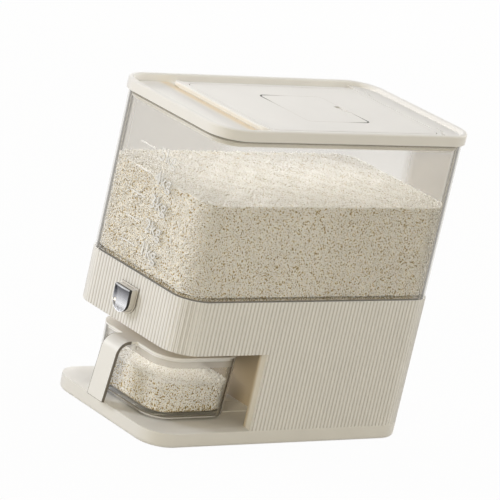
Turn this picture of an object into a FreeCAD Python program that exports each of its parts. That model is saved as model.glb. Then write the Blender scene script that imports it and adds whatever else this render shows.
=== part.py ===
import FreeCAD, Part
import math
import os

import Sketcher
from FreeCAD import Placement, Rotation, Vector

# Press-to-dispense rice bin: a clear hopper on a fluted body, a hinged filling flap in its lid,
# and a measuring cup that slides out of an open bay under a button-worked shutter.
# Frame: millimetres, +Z up, the button and the cup face -Y, origin under the middle of the
# bounding box on the plane that the rubber feet stand on.

# Driving dimensions: alias, millimetres, meaning.
DIMENSIONS = (
    ("body_width", 184.0, "width of the fluted body over the flute crests"),
    ("body_depth", 328.4, "depth of the fluted body over the flute crests"),
    ("body_height", 138.6, "height of the fluted body"),
    ("body_corner", 30.0, "plan radius of the body's corners"),
    ("body_wall", 2.5, "wall under the flutes"),
    ("flute_pitch", 4.73, "spacing of the flutes"),
    ("flute_height", 0.7, "how far a flute stands out"),
    ("base_height", 17.1, "height of the tray's top face above the table"),
    ("tray_nose", 4.9, "how far the tray reaches in front of the body"),
    ("tray_wall", 2.6, "wall of the tray"),
    ("tray_round", 4.0, "rounding of the tray's lower edge"),
    ("foot_radius", 9.0, "radius of a rubber foot"),
    ("foot_proud", 1.5, "height of a rubber foot below the tray"),
    ("foot_inset", 30.0, "foot centre from the tray's edges"),
    ("screw_radius", 1.9, "shank radius of the base screws"),
    ("screw_head_radius", 3.6, "head radius of the base screws"),
    ("screw_head_height", 2.2, "head height of the base screws"),
    ("screw_grip", 14.0, "length of a base screw's shank"),
    ("screw_inset", 13.0, "base screw centre from the body's sides"),
    ("screw_rear_inset", 40.0, "rear base screws from the body's back"),
    ("boss_wall", 2.6, "wall of the screw bosses"),
    ("bay_height", 82.6, "height of the drawer bay"),
    ("bay_side_depth", 118.3, "depth of the bay's open sides"),
    ("bay_depth", 162.0, "depth of the bay to its back wall"),
    ("bay_side_room", 8.3, "gap between the bay's inner walls and the body's sides"),
    ("liner_wall", 2.5, "wall of the bay liner"),
    ("rail_height", 0.8, "height of the cup's slide rails"),
    ("rail_width", 3.0, "width of a slide rail"),
    ("rail_spacing", 26.0, "spacing of the slide rails"),
    ("rail_front", 13.0, "front of the slide rails behind the cup's front"),
    ("ledge_depth", 5.0, "hopper ledge below the body's top edge"),
    ("ledge_width", 5.0, "width of the hopper ledge"),
    ("ledge_thickness", 2.2, "thickness of the ledge and of the funnel's flange"),
    ("outlet_width", 60.0, "width of the rice outlet"),
    ("outlet_length", 34.0, "front to back length of the rice outlet"),
    ("outlet_collar", 4.0, "height of the funnel's collar"),
    ("funnel_wall", 2.0, "wall of the funnel"),
    ("shutter_thickness", 1.6, "thickness of the shutter plate"),
    ("shutter_slot", 8.0, "length of a slot in the shutter and its guide"),
    ("button_travel", 9.0, "stroke of the button"),
    ("guide_thickness", 2.5, "thickness of the shutter guide"),
    ("guide_rail", 3.5, "width of the guide's side rails"),
    ("guide_margin", 13.0, "shutter guide past the outlet, front and back"),
    ("chute_flange", 1.5, "thickness of the chute's flange"),
    ("chute_wall", 1.8, "wall of the chute"),
    ("chute_drop", 2.0, "chute below the bay's ceiling"),
    ("gate_screw_radius", 1.4, "shank radius of the shutter guide's screws"),
    ("gate_head_radius", 2.8, "head radius of the shutter guide's screws"),
    ("gate_head_height", 1.4, "head height of the shutter guide's screws"),
    ("button_width", 24.6, "width of the button"),
    ("button_drop", 26.2, "height of the button"),
    ("button_proud", 10.3, "button in front of the body at rest"),
    ("button_top_gap", 16.0, "top of the button below the body's top edge"),
    ("face_depth", 3.2, "depth of the button's face plate"),
    ("face_dish", 2.2, "depth of the dish in the face plate"),
    ("face_border", 0.8, "rim of the button round its face plate"),
    ("bezel_wall", 1.2, "wall of the button's guide tube"),
    ("bezel_lip", 0.6, "bezel flange past its tube"),
    ("bezel_proud", 1.2, "thickness of the bezel's flange"),
    ("tube_depth", 11.0, "depth of the button's guide tube"),
    ("rod_radius", 2.5, "radius of the push rod"),
    ("rod_below_top", 20.4, "push rod's axis below the button's top"),
    ("rod_socket", 5.0, "depth of the push rod's socket in the button"),
    ("spring_radius", 4.2, "coil radius of the return spring"),
    ("spring_wire", 0.45, "radius of the spring's wire"),
    ("spring_turns", 6.0, "turns of the return spring"),
    ("spring_cup_depth", 8.0, "depth of the spring cup behind the tube"),
    ("arm_thickness", 2.5, "thickness of the push rod's arm"),
    ("arm_width", 12.0, "width of the push rod's arm"),
    ("bin_height", 167.8, "height of the clear hopper above the body"),
    ("bin_inset", 1.3, "hopper's outside behind the flute crests"),
    ("bin_wall", 3.0, "wall of the clear hopper"),
    ("bin_skirt", 3.0, "thickness of the hopper's lower skirt"),
    ("bin_foot", 2.7, "height of the hopper's foot flange"),
    ("seal_height", 1.4, "height of the hopper seal"),
    ("seal_width", 3.0, "width of the hopper seal"),
    ("tick_length", 25.0, "length of a raised level mark"),
    ("tick_width", 1.5, "width of a raised level mark"),
    ("tick_proud", 0.6, "height of a raised level mark"),
    ("tick_left", 34.0, "start of the level marks left of the middle"),
    ("tick_first", 24.0, "lowest level mark above the body's top edge"),
    ("tick_pitch", 25.5, "spacing of the level marks"),
    ("lid_height", 11.5, "height of the lid above the hopper"),
    ("lid_overhang", 2.8, "lid past the body on each side"),
    ("lid_end_overhang", 1.2, "lid past the body at front and back"),
    ("lid_rim", 6.0, "width of the lid's raised rim"),
    ("lid_rim_round", 2.2, "rounding of the lid's raised rim"),
    ("lid_recess", 8.0, "depth of the lid's recess"),
    ("lid_deck", 2.2, "thickness of the lid's deck and flap"),
    ("lid_plug", 9.0, "depth of the lid's plug below its deck"),
    ("plug_wall", 2.0, "wall of the lid's plug"),
    ("gasket_width", 1.8, "width of the lid gasket"),
    ("gasket_height", 4.0, "height of the lid gasket"),
    ("flap_width", 159.0, "width of the filling flap"),
    ("flap_back", 29.4, "flap's rear edge before the body's back"),
    ("flap_front", 57.0, "flap's front edge behind the body's front"),
    ("flap_corner", 14.0, "plan radius of the flap's corners"),
    ("flap_seat", 1.2, "gap between the flap and the deck, which its gasket fills"),
    ("flap_lap", 8.0, "flap past the filling mouth on every side"),
    ("flap_rear_gap", 1.2, "gap behind the flap that its rear edge swings through"),
    ("flap_gasket_inset", 3.2, "flap gasket inside the flap's edge"),
    ("flap_gasket_width", 4.0, "width of the flap gasket"),
    ("flap_lip", 3.0, "height of the flap's front lip above its plate"),
    ("flap_lip_edge", 1.4, "thickness of the lip's front edge"),
    ("flap_lip_reach", 3.0, "lip's underside before the plate's underside"),
    ("flap_lip_crest", 2.0, "flat top of the lip"),
    ("flap_lip_length", 16.0, "front to back length of the lip and its slope"),
    ("seam_inset", 5.0, "seam line inside the flap's edge"),
    ("seam_width", 1.0, "width of the flap's seam line"),
    ("seam_depth", 0.5, "depth of the flap's seam line"),
    ("pin_radius", 1.2, "radius of the flap's hinge pins"),
    ("knuckle_wall", 1.2, "wall of the flap's knuckles"),
    ("knuckle_width", 12.0, "width of a flap knuckle"),
    ("knuckle_offset", 60.0, "knuckle's middle from the lid's middle"),
    ("ear_width", 5.0, "width of a hinge ear"),
    ("ear_wall", 2.2, "wall of the ears behind the knuckles"),
    ("pin_engagement", 4.0, "length of a hinge pin inside each ear"),
    ("hinge_setback", 3.4, "hinge axis behind the flap's plate"),
    ("pocket_width", 80.0, "width of the desiccant pocket"),
    ("pocket_length", 77.0, "length of the desiccant pocket"),
    ("pocket_front", 89.0, "desiccant pocket behind the flap's front edge"),
    ("pocket_drop", 12.0, "depth of the pocket below the flap"),
    ("pocket_wall", 1.5, "wall of the desiccant pocket"),
    ("vent_inset", 6.0, "vents inside the pocket's walls"),
    ("vent_width", 3.0, "width of a vent in the pocket's floor"),
    ("cover_lap", 2.3, "desiccant cover past its pocket"),
    ("cover_thickness", 1.4, "thickness of the desiccant cover"),
    ("cover_corner", 6.0, "plan radius of the desiccant cover's corners"),
    ("notch_width", 22.0, "width of the cover's finger notch"),
    ("notch_length", 7.0, "length of the cover's finger notch"),
    ("cup_width", 122.0, "width of the measuring cup"),
    ("cup_depth", 105.0, "front to back length of the measuring cup"),
    ("cup_height", 67.2, "height of the measuring cup over its cover"),
    ("cup_corner", 26.0, "plan radius of the cup's corners"),
    ("cup_setback", 13.0, "cup behind the body's front"),
    ("cup_draft", 2.0, "how far the cup narrows to its floor"),
    ("cup_wall", 2.2, "wall of the cup"),
    ("cup_floor", 5.0, "floor of the cup"),
    ("cup_base_round", 3.5, "rounding of the cup's lower edge"),
    ("cover_plate", 2.0, "thickness of the cup's cover"),
    ("cover_skirt", 4.0, "depth of the cover's skirt inside the cup"),
    ("inlet_width", 82.0, "width of the inlet in the cup's cover"),
    ("inlet_length", 56.0, "length of the inlet in the cup's cover"),
    ("inlet_front", 26.0, "inlet behind the cup's front"),
    ("handle_width", 26.0, "width of the strap handle"),
    ("handle_thickness", 3.2, "thickness of the strap handle"),
    ("handle_reach", 28.5, "strap handle in front of the cup"),
    ("handle_splay", 5.0, "how far the strap leans out towards its end"),
    ("handle_bend", 14.0, "bend radius at the top of the strap"),
    ("handle_end", 3.6, "strap's end above the tray"),
    ("clip_width", 2.4, "width of the cup's locating clips"),
    ("clip_height", 6.0, "height of the cup's locating clips"),
    ("clip_proud", 1.6, "how far the locating clips stand out"),
    ("rice_level", 100.4, "rice above the body's top edge"),
    ("rice_settle", 6.0, "rice away from the hopper's back wall at the top"),
    ("rice_ripple", 1.2, "rise and fall of the rice's uneven top"),
    ("rice_ripple_length", 44.0, "length of one ripple in the rice's top"),
    ("cup_rice_depth", 34.5, "depth of the rice in the cup"),
    ("cup_rice_slope", 28.0, "length of the slope at the back of the cup's rice"),
    ("cup_rice_fall", 4.0, "fall of the slope at the back of the cup's rice"),
    ("part_gap", 0.3, "clearance between pieces that move apart"),
    ("fit_gap", 0.05, "radial clearance of a pin or shaft in its hole"),
    ("rice_gap", 0.6, "clearance between the rice and its container"),
)

SHEET = "Dims"
SIDES = (-1, 1)
RAIL_COUNT = 4
MARK_COUNT = 5
VENT_COUNT = 5
ROUND_STEPS = 3
WIRE_SIDES = 8
RIPPLE_STEPS = 4
AT_LEVEL = 0.01

doc = FreeCAD.newDocument("rice_dispenser")


class Size:
    """A length in mm together with the spreadsheet expression that gives it."""

    def __init__(self, value, text):
        self.value = float(value)
        self.text = text

    def __add__(self, other):
        other = as_size(other)
        return Size(self.value + other.value, f"({self.text} + {other.text})")

    def __sub__(self, other):
        other = as_size(other)
        return Size(self.value - other.value, f"({self.text} - {other.text})")

    def __mul__(self, factor):
        factor = as_size(factor)
        return Size(self.value * factor.value, f"({self.text} * {factor.text})")

    def __truediv__(self, divisor):
        divisor = as_size(divisor)
        return Size(self.value / divisor.value, f"({self.text} / {divisor.text})")

    def __neg__(self):
        return Size(-self.value, f"(0 - {self.text})")


def as_size(number):
    """A plain number as a Size."""
    if isinstance(number, Size):
        return number
    return Size(number, repr(float(number)))


class Sizes:
    """The spreadsheet's cells, each read back as a Size."""

    def __init__(self, sheet):
        self.sheet = sheet

    def __getattr__(self, alias):
        return Size(self.sheet.get(alias), f"{SHEET}.{alias}")


def make_sheet():
    """The sheet of driving dimensions: name, value, meaning."""
    sheet = doc.addObject("Spreadsheet::Sheet", SHEET)
    for row, (alias, value, meaning) in enumerate(DIMENSIONS, start=1):
        sheet.set(f"A{row}", alias)
        sheet.set(f"B{row}", str(value))
        sheet.setAlias(f"B{row}", alias)
        sheet.set(f"C{row}", meaning)
    doc.recompute()
    return Sizes(sheet)


S = make_sheet()
ZERO = as_size(0)

# Planes and levels that several pieces share.
HANDLE_PROJECTION = S.handle_reach - S.cup_setback
FRONT = (HANDLE_PROJECTION - S.body_depth - S.lid_end_overhang) / 2
REAR = FRONT + S.body_depth
HALF_WIDTH = S.body_width / 2
SHELL = S.flute_height + S.body_wall
INNER_X = HALF_WIDTH - SHELL
INNER_FRONT = FRONT + SHELL
INNER_REAR = REAR - SHELL
INNER_CORNER = S.body_corner - SHELL
TRAY_TOP = S.base_height
BODY_TOP = TRAY_TOP + S.body_height
BIN_TOP = BODY_TOP + S.bin_height
LID_TOP = BIN_TOP + S.lid_height
CEILING = TRAY_TOP + S.bay_height
CEILING_TOP = CEILING + S.liner_wall
BAY_JAMB = FRONT + S.bay_side_depth
BAY_BACK = FRONT + S.bay_depth
LEDGE_TOP = BODY_TOP - S.ledge_depth
FLANGE_TOP = LEDGE_TOP + S.ledge_thickness
SEAL_TOP = FLANGE_TOP + S.seal_height
CHUTE_TOP = CEILING_TOP + S.chute_flange
SHUTTER_BASE = CHUTE_TOP + S.part_gap
SHUTTER_TOP = SHUTTER_BASE + S.shutter_thickness
GUIDE_BASE = SHUTTER_TOP + S.part_gap
GUIDE_TOP = GUIDE_BASE + S.guide_thickness
CUP_FRONT = FRONT + S.cup_setback
CUP_REAR = CUP_FRONT + S.cup_depth
CUP_BASE = TRAY_TOP + S.rail_height + S.part_gap
CUP_TOP = CUP_BASE + S.cup_height
COVER_BASE = CUP_TOP - S.cover_plate
OUTLET_Y = CUP_FRONT + S.cup_depth / 2
BIN_X = HALF_WIDTH - S.bin_inset
BIN_FRONT = FRONT + S.bin_inset
BIN_REAR = REAR - S.bin_inset
BIN_CORNER = S.body_corner - S.bin_inset
BUTTON_TOP = BODY_TOP - S.button_top_gap
ROD_Z = BUTTON_TOP - S.rod_below_top
DECK_TOP = LID_TOP - S.lid_recess
DECK_BASE = DECK_TOP - S.lid_deck
FLAP_FRONT = FRONT + S.flap_front
FLAP_REAR = REAR - S.flap_back
FLAP_BASE = DECK_TOP + S.flap_seat
FLAP_TOP = FLAP_BASE + S.lid_deck
LIP_TOP = FLAP_TOP + S.flap_lip
SHELF_FRONT = FLAP_REAR + S.flap_rear_gap
HINGE_Y = FLAP_REAR + S.hinge_setback
HINGE_Z = FLAP_TOP - S.pin_radius - S.knuckle_wall + S.part_gap


def new_body(label):
    """An empty PartDesign body named after its sub-part."""
    body = doc.addObject("PartDesign::Body", label)
    body.Label = label
    return body


def sketch_on(body, plane, offset, name):
    """A sketch parallel to one of the body's own origin planes, at an offset along its normal."""
    sketch = body.newObject("Sketcher::SketchObject", name)
    support = next(item for item in body.Origin.OriginFeatures if item.Role == plane)
    sketch.AttachmentSupport = [(support, "")]
    sketch.MapMode = "FlatFace"
    sketch.AttachmentOffset = Placement(Vector(0, 0, offset.value), Rotation())
    sketch.setExpression("AttachmentOffset.Base.z", offset.text)
    return sketch


def drive(sketch, kind, *where, size, name):
    """Add a driving constraint and bind it to the sheet."""
    sketch.addConstraint(Sketcher.Constraint(kind, *where, size.value))
    index = sketch.ConstraintCount - 1
    sketch.renameConstraint(index, name)
    sketch.setExpression(f"Constraints.{name}", size.text)


def place_point(sketch, geometry, position, x, y, name):
    """Hold one point of a sketch at x, y from the sketch's origin."""
    drive(sketch, "DistanceX", -1, 1, geometry, position, size=x, name=f"{name}_x")
    drive(sketch, "DistanceY", -1, 1, geometry, position, size=y, name=f"{name}_y")


def add_polygon(sketch, corners, name):
    """A closed outline of straight lines through corners given as (x, y) sizes."""
    points = [Vector(x.value, y.value, 0) for x, y in corners]
    first = sketch.GeometryCount
    count = len(points)
    for index in range(count):
        sketch.addGeometry(Part.LineSegment(points[index], points[(index + 1) % count]), False)
    for index in range(count):
        following = first + (index + 1) % count
        sketch.addConstraint(Sketcher.Constraint("Coincident", first + index, 2, following, 1))
    for index, (x, y) in enumerate(corners):
        place_point(sketch, first + index, 1, x, y, f"{name}{index}")


def add_rectangle(sketch, left, right, low, high, name):
    """A rectangle between four sizes."""
    add_polygon(sketch, ((left, low), (right, low), (right, high), (left, high)), name)


def add_circle(sketch, x, y, radius, name):
    """A circle about x, y."""
    centre = Vector(x.value, y.value, 0)
    index = sketch.addGeometry(Part.Circle(centre, Vector(0, 0, 1), radius.value), False)
    place_point(sketch, index, 3, x, y, name)
    drive(sketch, "Radius", index, size=radius, name=f"{name}_r")


def add_rounded(sketch, left, right, low, high, radius, name):
    """A rectangle between four sizes with its corners rounded to one radius."""
    x0, x1, y0, y1, r = left.value, right.value, low.value, high.value, radius.value
    normal = Vector(0, 0, 1)
    lines = (
        (x0 + r, y0, x1 - r, y0),
        (x1, y0 + r, x1, y1 - r),
        (x1 - r, y1, x0 + r, y1),
        (x0, y1 - r, x0, y0 + r),
    )
    centres = ((x1 - r, y0 + r), (x1 - r, y1 - r), (x0 + r, y1 - r), (x0 + r, y0 + r))
    first = sketch.GeometryCount
    for index in range(4):
        ax, ay, bx, by = lines[index]
        sketch.addGeometry(Part.LineSegment(Vector(ax, ay, 0), Vector(bx, by, 0)), False)
        circle = Part.Circle(Vector(*centres[index], 0), normal, r)
        start = (index - 1) * math.pi / 2
        sketch.addGeometry(Part.ArcOfCircle(circle, start, start + math.pi / 2), False)
    for index in range(8):
        following = first + (index + 1) % 8
        sketch.addConstraint(Sketcher.Constraint("Tangent", first + index, 2, following, 1))
    for index, direction in ((0, "Horizontal"), (2, "Vertical"), (4, "Horizontal"), (6, "Vertical")):
        sketch.addConstraint(Sketcher.Constraint(direction, first + index))
    for index in (3, 5, 7):
        sketch.addConstraint(Sketcher.Constraint("Equal", first + 1, first + index))
    drive(sketch, "Radius", first + 1, size=radius, name=f"{name}_r")
    drive(sketch, "DistanceY", -1, 1, first, 1, size=low, name=f"{name}_low")
    drive(sketch, "DistanceX", -1, 1, first + 2, 1, size=right, name=f"{name}_right")
    drive(sketch, "DistanceY", -1, 1, first + 4, 1, size=high, name=f"{name}_high")
    drive(sketch, "DistanceX", -1, 1, first + 6, 1, size=left, name=f"{name}_left")


def add_shield(sketch, half_width, top, bottom, name):
    """The button's outline: straight top and sides, and a half-round lower end."""
    w, z1 = half_width.value, top.value
    zc = bottom.value + w
    first = sketch.GeometryCount
    circle = Part.Circle(Vector(0, zc, 0), Vector(0, 0, 1), w)
    sketch.addGeometry(Part.ArcOfCircle(circle, math.pi, 2 * math.pi), False)
    sketch.addGeometry(Part.LineSegment(Vector(w, zc, 0), Vector(w, z1, 0)), False)
    sketch.addGeometry(Part.LineSegment(Vector(w, z1, 0), Vector(-w, z1, 0)), False)
    sketch.addGeometry(Part.LineSegment(Vector(-w, z1, 0), Vector(-w, zc, 0)), False)
    sketch.addConstraint(Sketcher.Constraint("Tangent", first, 2, first + 1, 1))
    sketch.addConstraint(Sketcher.Constraint("Coincident", first + 1, 2, first + 2, 1))
    sketch.addConstraint(Sketcher.Constraint("Coincident", first + 2, 2, first + 3, 1))
    sketch.addConstraint(Sketcher.Constraint("Tangent", first + 3, 2, first, 1))
    sketch.addConstraint(Sketcher.Constraint("Vertical", first + 1))
    sketch.addConstraint(Sketcher.Constraint("Vertical", first + 3))
    sketch.addConstraint(Sketcher.Constraint("Horizontal", first + 2))
    drive(sketch, "DistanceX", -1, 1, first + 1, 2, size=half_width, name=f"{name}_right")
    drive(sketch, "DistanceX", -1, 1, first + 2, 2, size=-half_width, name=f"{name}_left")
    drive(sketch, "DistanceY", -1, 1, first + 2, 1, size=top, name=f"{name}_top")
    drive(sketch, "DistanceY", -1, 1, first, 3, size=bottom + half_width, name=f"{name}_mid")


def pad(body, sketch, length, name, reverse=False):
    """Raise a sketch along its normal, or against it when reversed."""
    feature = body.newObject("PartDesign::Pad", name)
    feature.Profile = sketch
    feature.Length = length.value
    feature.setExpression("Length", length.text)
    feature.Reversed = reverse
    return feature


def pocket(body, sketch, depth, name, along_normal=False):
    """Cut a sketch into the body against its normal, or along it."""
    feature = body.newObject("PartDesign::Pocket", name)
    feature.Profile = sketch
    feature.Length = depth.value
    feature.setExpression("Length", depth.text)
    feature.Reversed = along_normal
    return feature


def loft(body, sketches, name, subtract=False):
    """A ruled loft through sketches, added to the body or cut from it."""
    kind = "SubtractiveLoft" if subtract else "AdditiveLoft"
    feature = body.newObject(f"PartDesign::{kind}", name)
    feature.Profile = sketches[0]
    feature.Sections = list(sketches[1:])
    feature.Ruled = True
    return feature


def round_edges(body, feature, chosen, radius, name):
    """Fillet the edges of a feature that the test chooses by their middle point."""
    doc.recompute()
    edges = []
    for index, edge in enumerate(feature.Shape.Edges, start=1):
        if chosen(edge.CenterOfMass):
            edges.append(f"Edge{index}")
    fillet = body.newObject("PartDesign::Fillet", name)
    fillet.Base = (feature, edges)
    fillet.Radius = radius.value
    fillet.setExpression("Radius", radius.text)


def add_primitive(kind, name, **sizes):
    """A Part primitive whose properties are bound to the sheet."""
    item = doc.addObject(kind, name)
    for prop, size in sizes.items():
        item.setExpression(prop, as_size(size).text)
    return item


def move_to(item, x, y, z, turn=None):
    """Place an object with each coordinate bound to the sheet."""
    item.Placement = Placement(Vector(x.value, y.value, z.value), turn or Rotation())
    for axis, size in (("x", x), ("y", y), ("z", z)):
        item.setExpression(f"Placement.Base.{axis}", size.text)
    return item


def group_of(label, items):
    """Several separate solids kept as one sub-part."""
    group = doc.addObject("Part::Compound", label)
    group.Label = label
    group.Links = items
    return group


def ring(body, outer, inner, base, height, name):
    """A closed band between two rounded rectangles, each (left, right, low, high, radius)."""
    sketch = sketch_on(body, "XY_Plane", base, f"{name}_plan")
    add_rounded(sketch, *outer, "outer")
    add_rounded(sketch, *inner, "inner")
    return pad(body, sketch, height, name)


def inside(box, inset):
    """A rounded rectangle moved inwards by an inset."""
    left, right, low, high, radius = box
    return (left + inset, right - inset, low + inset, high - inset, radius - inset)


BODY_PLAN = (-HALF_WIDTH, HALF_WIDTH, FRONT, REAR, S.body_corner)
TRAY_PLAN = (-HALF_WIDTH, HALF_WIDTH, FRONT - S.tray_nose, REAR, S.body_corner)
SHELL_PLAN = inside(BODY_PLAN, SHELL)
BIN_PLAN = inside(BODY_PLAN, S.bin_inset)
CUP_PLAN = (-S.cup_width / 2, S.cup_width / 2, CUP_FRONT, CUP_REAR, S.cup_corner)
FLAP_PLAN = (-S.flap_width / 2, S.flap_width / 2, FLAP_FRONT, FLAP_REAR, S.flap_corner)


def foot_places():
    """Plan positions of the rubber feet."""
    x = HALF_WIDTH - S.foot_inset
    rows = (FRONT - S.tray_nose + S.foot_inset, REAR - S.foot_inset)
    return [(x * side, y) for side in SIDES for y in rows]


def screw_places():
    """Plan positions of the screws that hold the tray under the body."""
    x = HALF_WIDTH - S.screw_inset
    rows = (BAY_BACK + S.liner_wall + S.screw_inset, REAR - S.screw_rear_inset)
    return [(x * side, y) for side in SIDES for y in rows]


def gate_screw_places():
    """Plan positions of the screws that hold the shutter guide to the bay's ceiling."""
    x = S.outlet_width / 2 + S.chute_wall + S.part_gap + S.guide_rail
    y = S.outlet_length / 2 + S.guide_margin - S.guide_rail
    return [(x * side, OUTLET_Y + y * end) for side in SIDES for end in SIDES]


SCREW_SEAT = S.foot_proud + S.screw_head_height + S.part_gap


def base_tray():
    """The tray: a shallow open-bottomed moulding with a nose, foot posts and screw posts."""
    body = new_body("base_tray")
    sketch = sketch_on(body, "XY_Plane", S.foot_proud, "outline")
    add_rounded(sketch, *TRAY_PLAN, "tray")
    block = pad(body, sketch, S.base_height - S.foot_proud, "block")
    low = S.foot_proud.value
    round_edges(body, block, lambda at: abs(at.z - low) < AT_LEVEL, S.tray_round, "lower_edge")
    hollow = sketch_on(body, "XY_Plane", S.foot_proud, "hollow_plan")
    add_rounded(hollow, *inside(TRAY_PLAN, S.tray_wall + S.tray_round / 2), "hollow")
    pocket(body, hollow, S.base_height - S.foot_proud - S.tray_wall, "hollow", along_normal=True)
    posts = sketch_on(body, "XY_Plane", S.foot_proud, "foot_posts_plan")
    for index, (x, y) in enumerate(foot_places()):
        add_circle(posts, x, y, S.foot_radius + S.tray_wall / 2, f"post{index}")
    pad(body, posts, S.base_height - S.foot_proud - S.tray_wall / 2, "foot_posts")
    bosses = sketch_on(body, "XY_Plane", SCREW_SEAT, "bosses_plan")
    holes = sketch_on(body, "XY_Plane", TRAY_TOP, "screw_holes_plan")
    for index, (x, y) in enumerate(screw_places()):
        add_circle(bosses, x, y, S.screw_head_radius + S.part_gap, f"boss{index}")
        add_circle(holes, x, y, S.screw_radius + S.fit_gap, f"hole{index}")
    pad(body, bosses, TRAY_TOP - SCREW_SEAT - S.tray_wall / 2, "screw_posts")
    pocket(body, holes, S.base_height, "screw_holes")
    rails = sketch_on(body, "XY_Plane", TRAY_TOP, "rails_plan")
    for index in range(RAIL_COUNT):
        middle = S.rail_spacing * (index - (RAIL_COUNT - 1) / 2)
        add_rectangle(rails, middle - S.rail_width / 2, middle + S.rail_width / 2,
                      CUP_FRONT + S.rail_front, BAY_BACK - S.liner_wall, f"rail{index}")
    pad(body, rails, S.rail_height, "slide_rails")
    return body


def rubber_feet():
    """Four rubber discs under the tray's foot posts."""
    feet = []
    for index, (x, y) in enumerate(foot_places()):
        foot = add_primitive("Part::Cylinder", f"foot{index}", Radius=S.foot_radius, Height=S.foot_proud)
        feet.append(move_to(foot, x, y, ZERO))
    return group_of("rubber_feet", feet)


def screw(name, x, y, head_base, head_radius, head_height, shank_radius, shank_length, up):
    """A screw with its head at head_base and its shank pointing up or down."""
    head = add_primitive("Part::Cylinder", f"{name}_head", Radius=head_radius, Height=head_height)
    shank = add_primitive("Part::Cylinder", f"{name}_shank", Radius=shank_radius, Height=shank_length)
    move_to(head, x, y, head_base)
    move_to(shank, x, y, head_base + head_height if up else head_base - shank_length)
    whole = doc.addObject("Part::Fuse", name)
    whole.Base = head
    whole.Tool = shank
    return whole


def base_screws():
    """The screws that clamp the tray to the body from below."""
    screws = []
    for index, (x, y) in enumerate(screw_places()):
        screws.append(screw(f"base_screw{index}", x, y, SCREW_SEAT - S.screw_head_height,
                            S.screw_head_radius, S.screw_head_height,
                            S.screw_radius, S.screw_grip, True))
    return group_of("base_screws", screws)


def flute_outline(width, depth, corner, pitch, height, middle_y):
    """A rounded rectangle edged with half-round flutes: crests on the outline, valleys inside it."""
    valley_x = width / 2 - height
    valley_y = depth / 2 - height
    radius = corner - height
    straight_x = valley_x - radius
    straight_y = valley_y - radius
    across = max(2, round(2 * straight_x / pitch))
    along = max(2, round(2 * straight_y / pitch))
    round_count = max(3, round(corner * math.pi / 2 / pitch))
    valleys = []
    for step in range(across):
        valleys.append((straight_x * (2 * step / across - 1), -valley_y, 0, -1))
    valleys += corner_points(straight_x, -straight_y, radius, -math.pi / 2, round_count)
    for step in range(along):
        valleys.append((valley_x, straight_y * (2 * step / along - 1), 1, 0))
    valleys += corner_points(straight_x, straight_y, radius, 0, round_count)
    for step in range(across):
        valleys.append((straight_x * (1 - 2 * step / across), valley_y, 0, 1))
    valleys += corner_points(-straight_x, straight_y, radius, math.pi / 2, round_count)
    for step in range(along):
        valleys.append((-valley_x, straight_y * (1 - 2 * step / along), -1, 0))
    valleys += corner_points(-straight_x, -straight_y, radius, math.pi, round_count)
    edges = []
    for index, (x, y, nx, ny) in enumerate(valleys):
        x2, y2, nx2, ny2 = valleys[(index + 1) % len(valleys)]
        out = Vector(nx + nx2, ny + ny2, 0).normalize() * height
        start = Vector(x, y + middle_y, 0)
        end = Vector(x2, y2 + middle_y, 0)
        edges.append(Part.Arc(start, (start + end) / 2 + out, end).toShape())
    return Part.Face(Part.Wire(edges))


def corner_points(cx, cy, radius, start, count):
    """Valley points round one corner with their outward directions."""
    points = []
    for step in range(count):
        angle = start + step * math.pi / 2 / count
        nx, ny = math.cos(angle), math.sin(angle)
        points.append((cx + radius * nx, cy + radius * ny, nx, ny))
    return points


def rounded_prism(plan, base, height):
    """A solid rounded rectangle standing on a level, from sheet values."""
    left, right, low, high, radius = (size.value for size in plan)
    block = Part.makeBox(right - left, high - low, height.value, Vector(left, low, base.value))
    uprights = [edge for edge in block.Edges if abs(edge.tangentAt(edge.FirstParameter).z) > 0.5]
    return block.makeFillet(radius, uprights)


def shield_prism(half_width, top, bottom, front, length):
    """The button's outline as a solid running back from a front plane."""
    w, z1, zc = half_width.value, top.value, bottom.value + half_width.value
    y = front.value
    corners = [Vector(-w, y, zc), Vector(-w, y, z1), Vector(w, y, z1), Vector(w, y, zc)]
    edges = [Part.LineSegment(corners[i], corners[i + 1]).toShape() for i in range(3)]
    edges.append(Part.Arc(corners[3], Vector(0, y, bottom.value), corners[0]).toShape())
    return Part.Face(Part.Wire(edges)).extrude(Vector(0, length.value, 0))


TUBE_HALF = S.button_width / 2 + S.part_gap + S.bezel_wall
TUBE_TOP = BUTTON_TOP + S.part_gap + S.bezel_wall
TUBE_BOTTOM = BUTTON_TOP - S.button_drop - S.part_gap - S.bezel_wall


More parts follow.
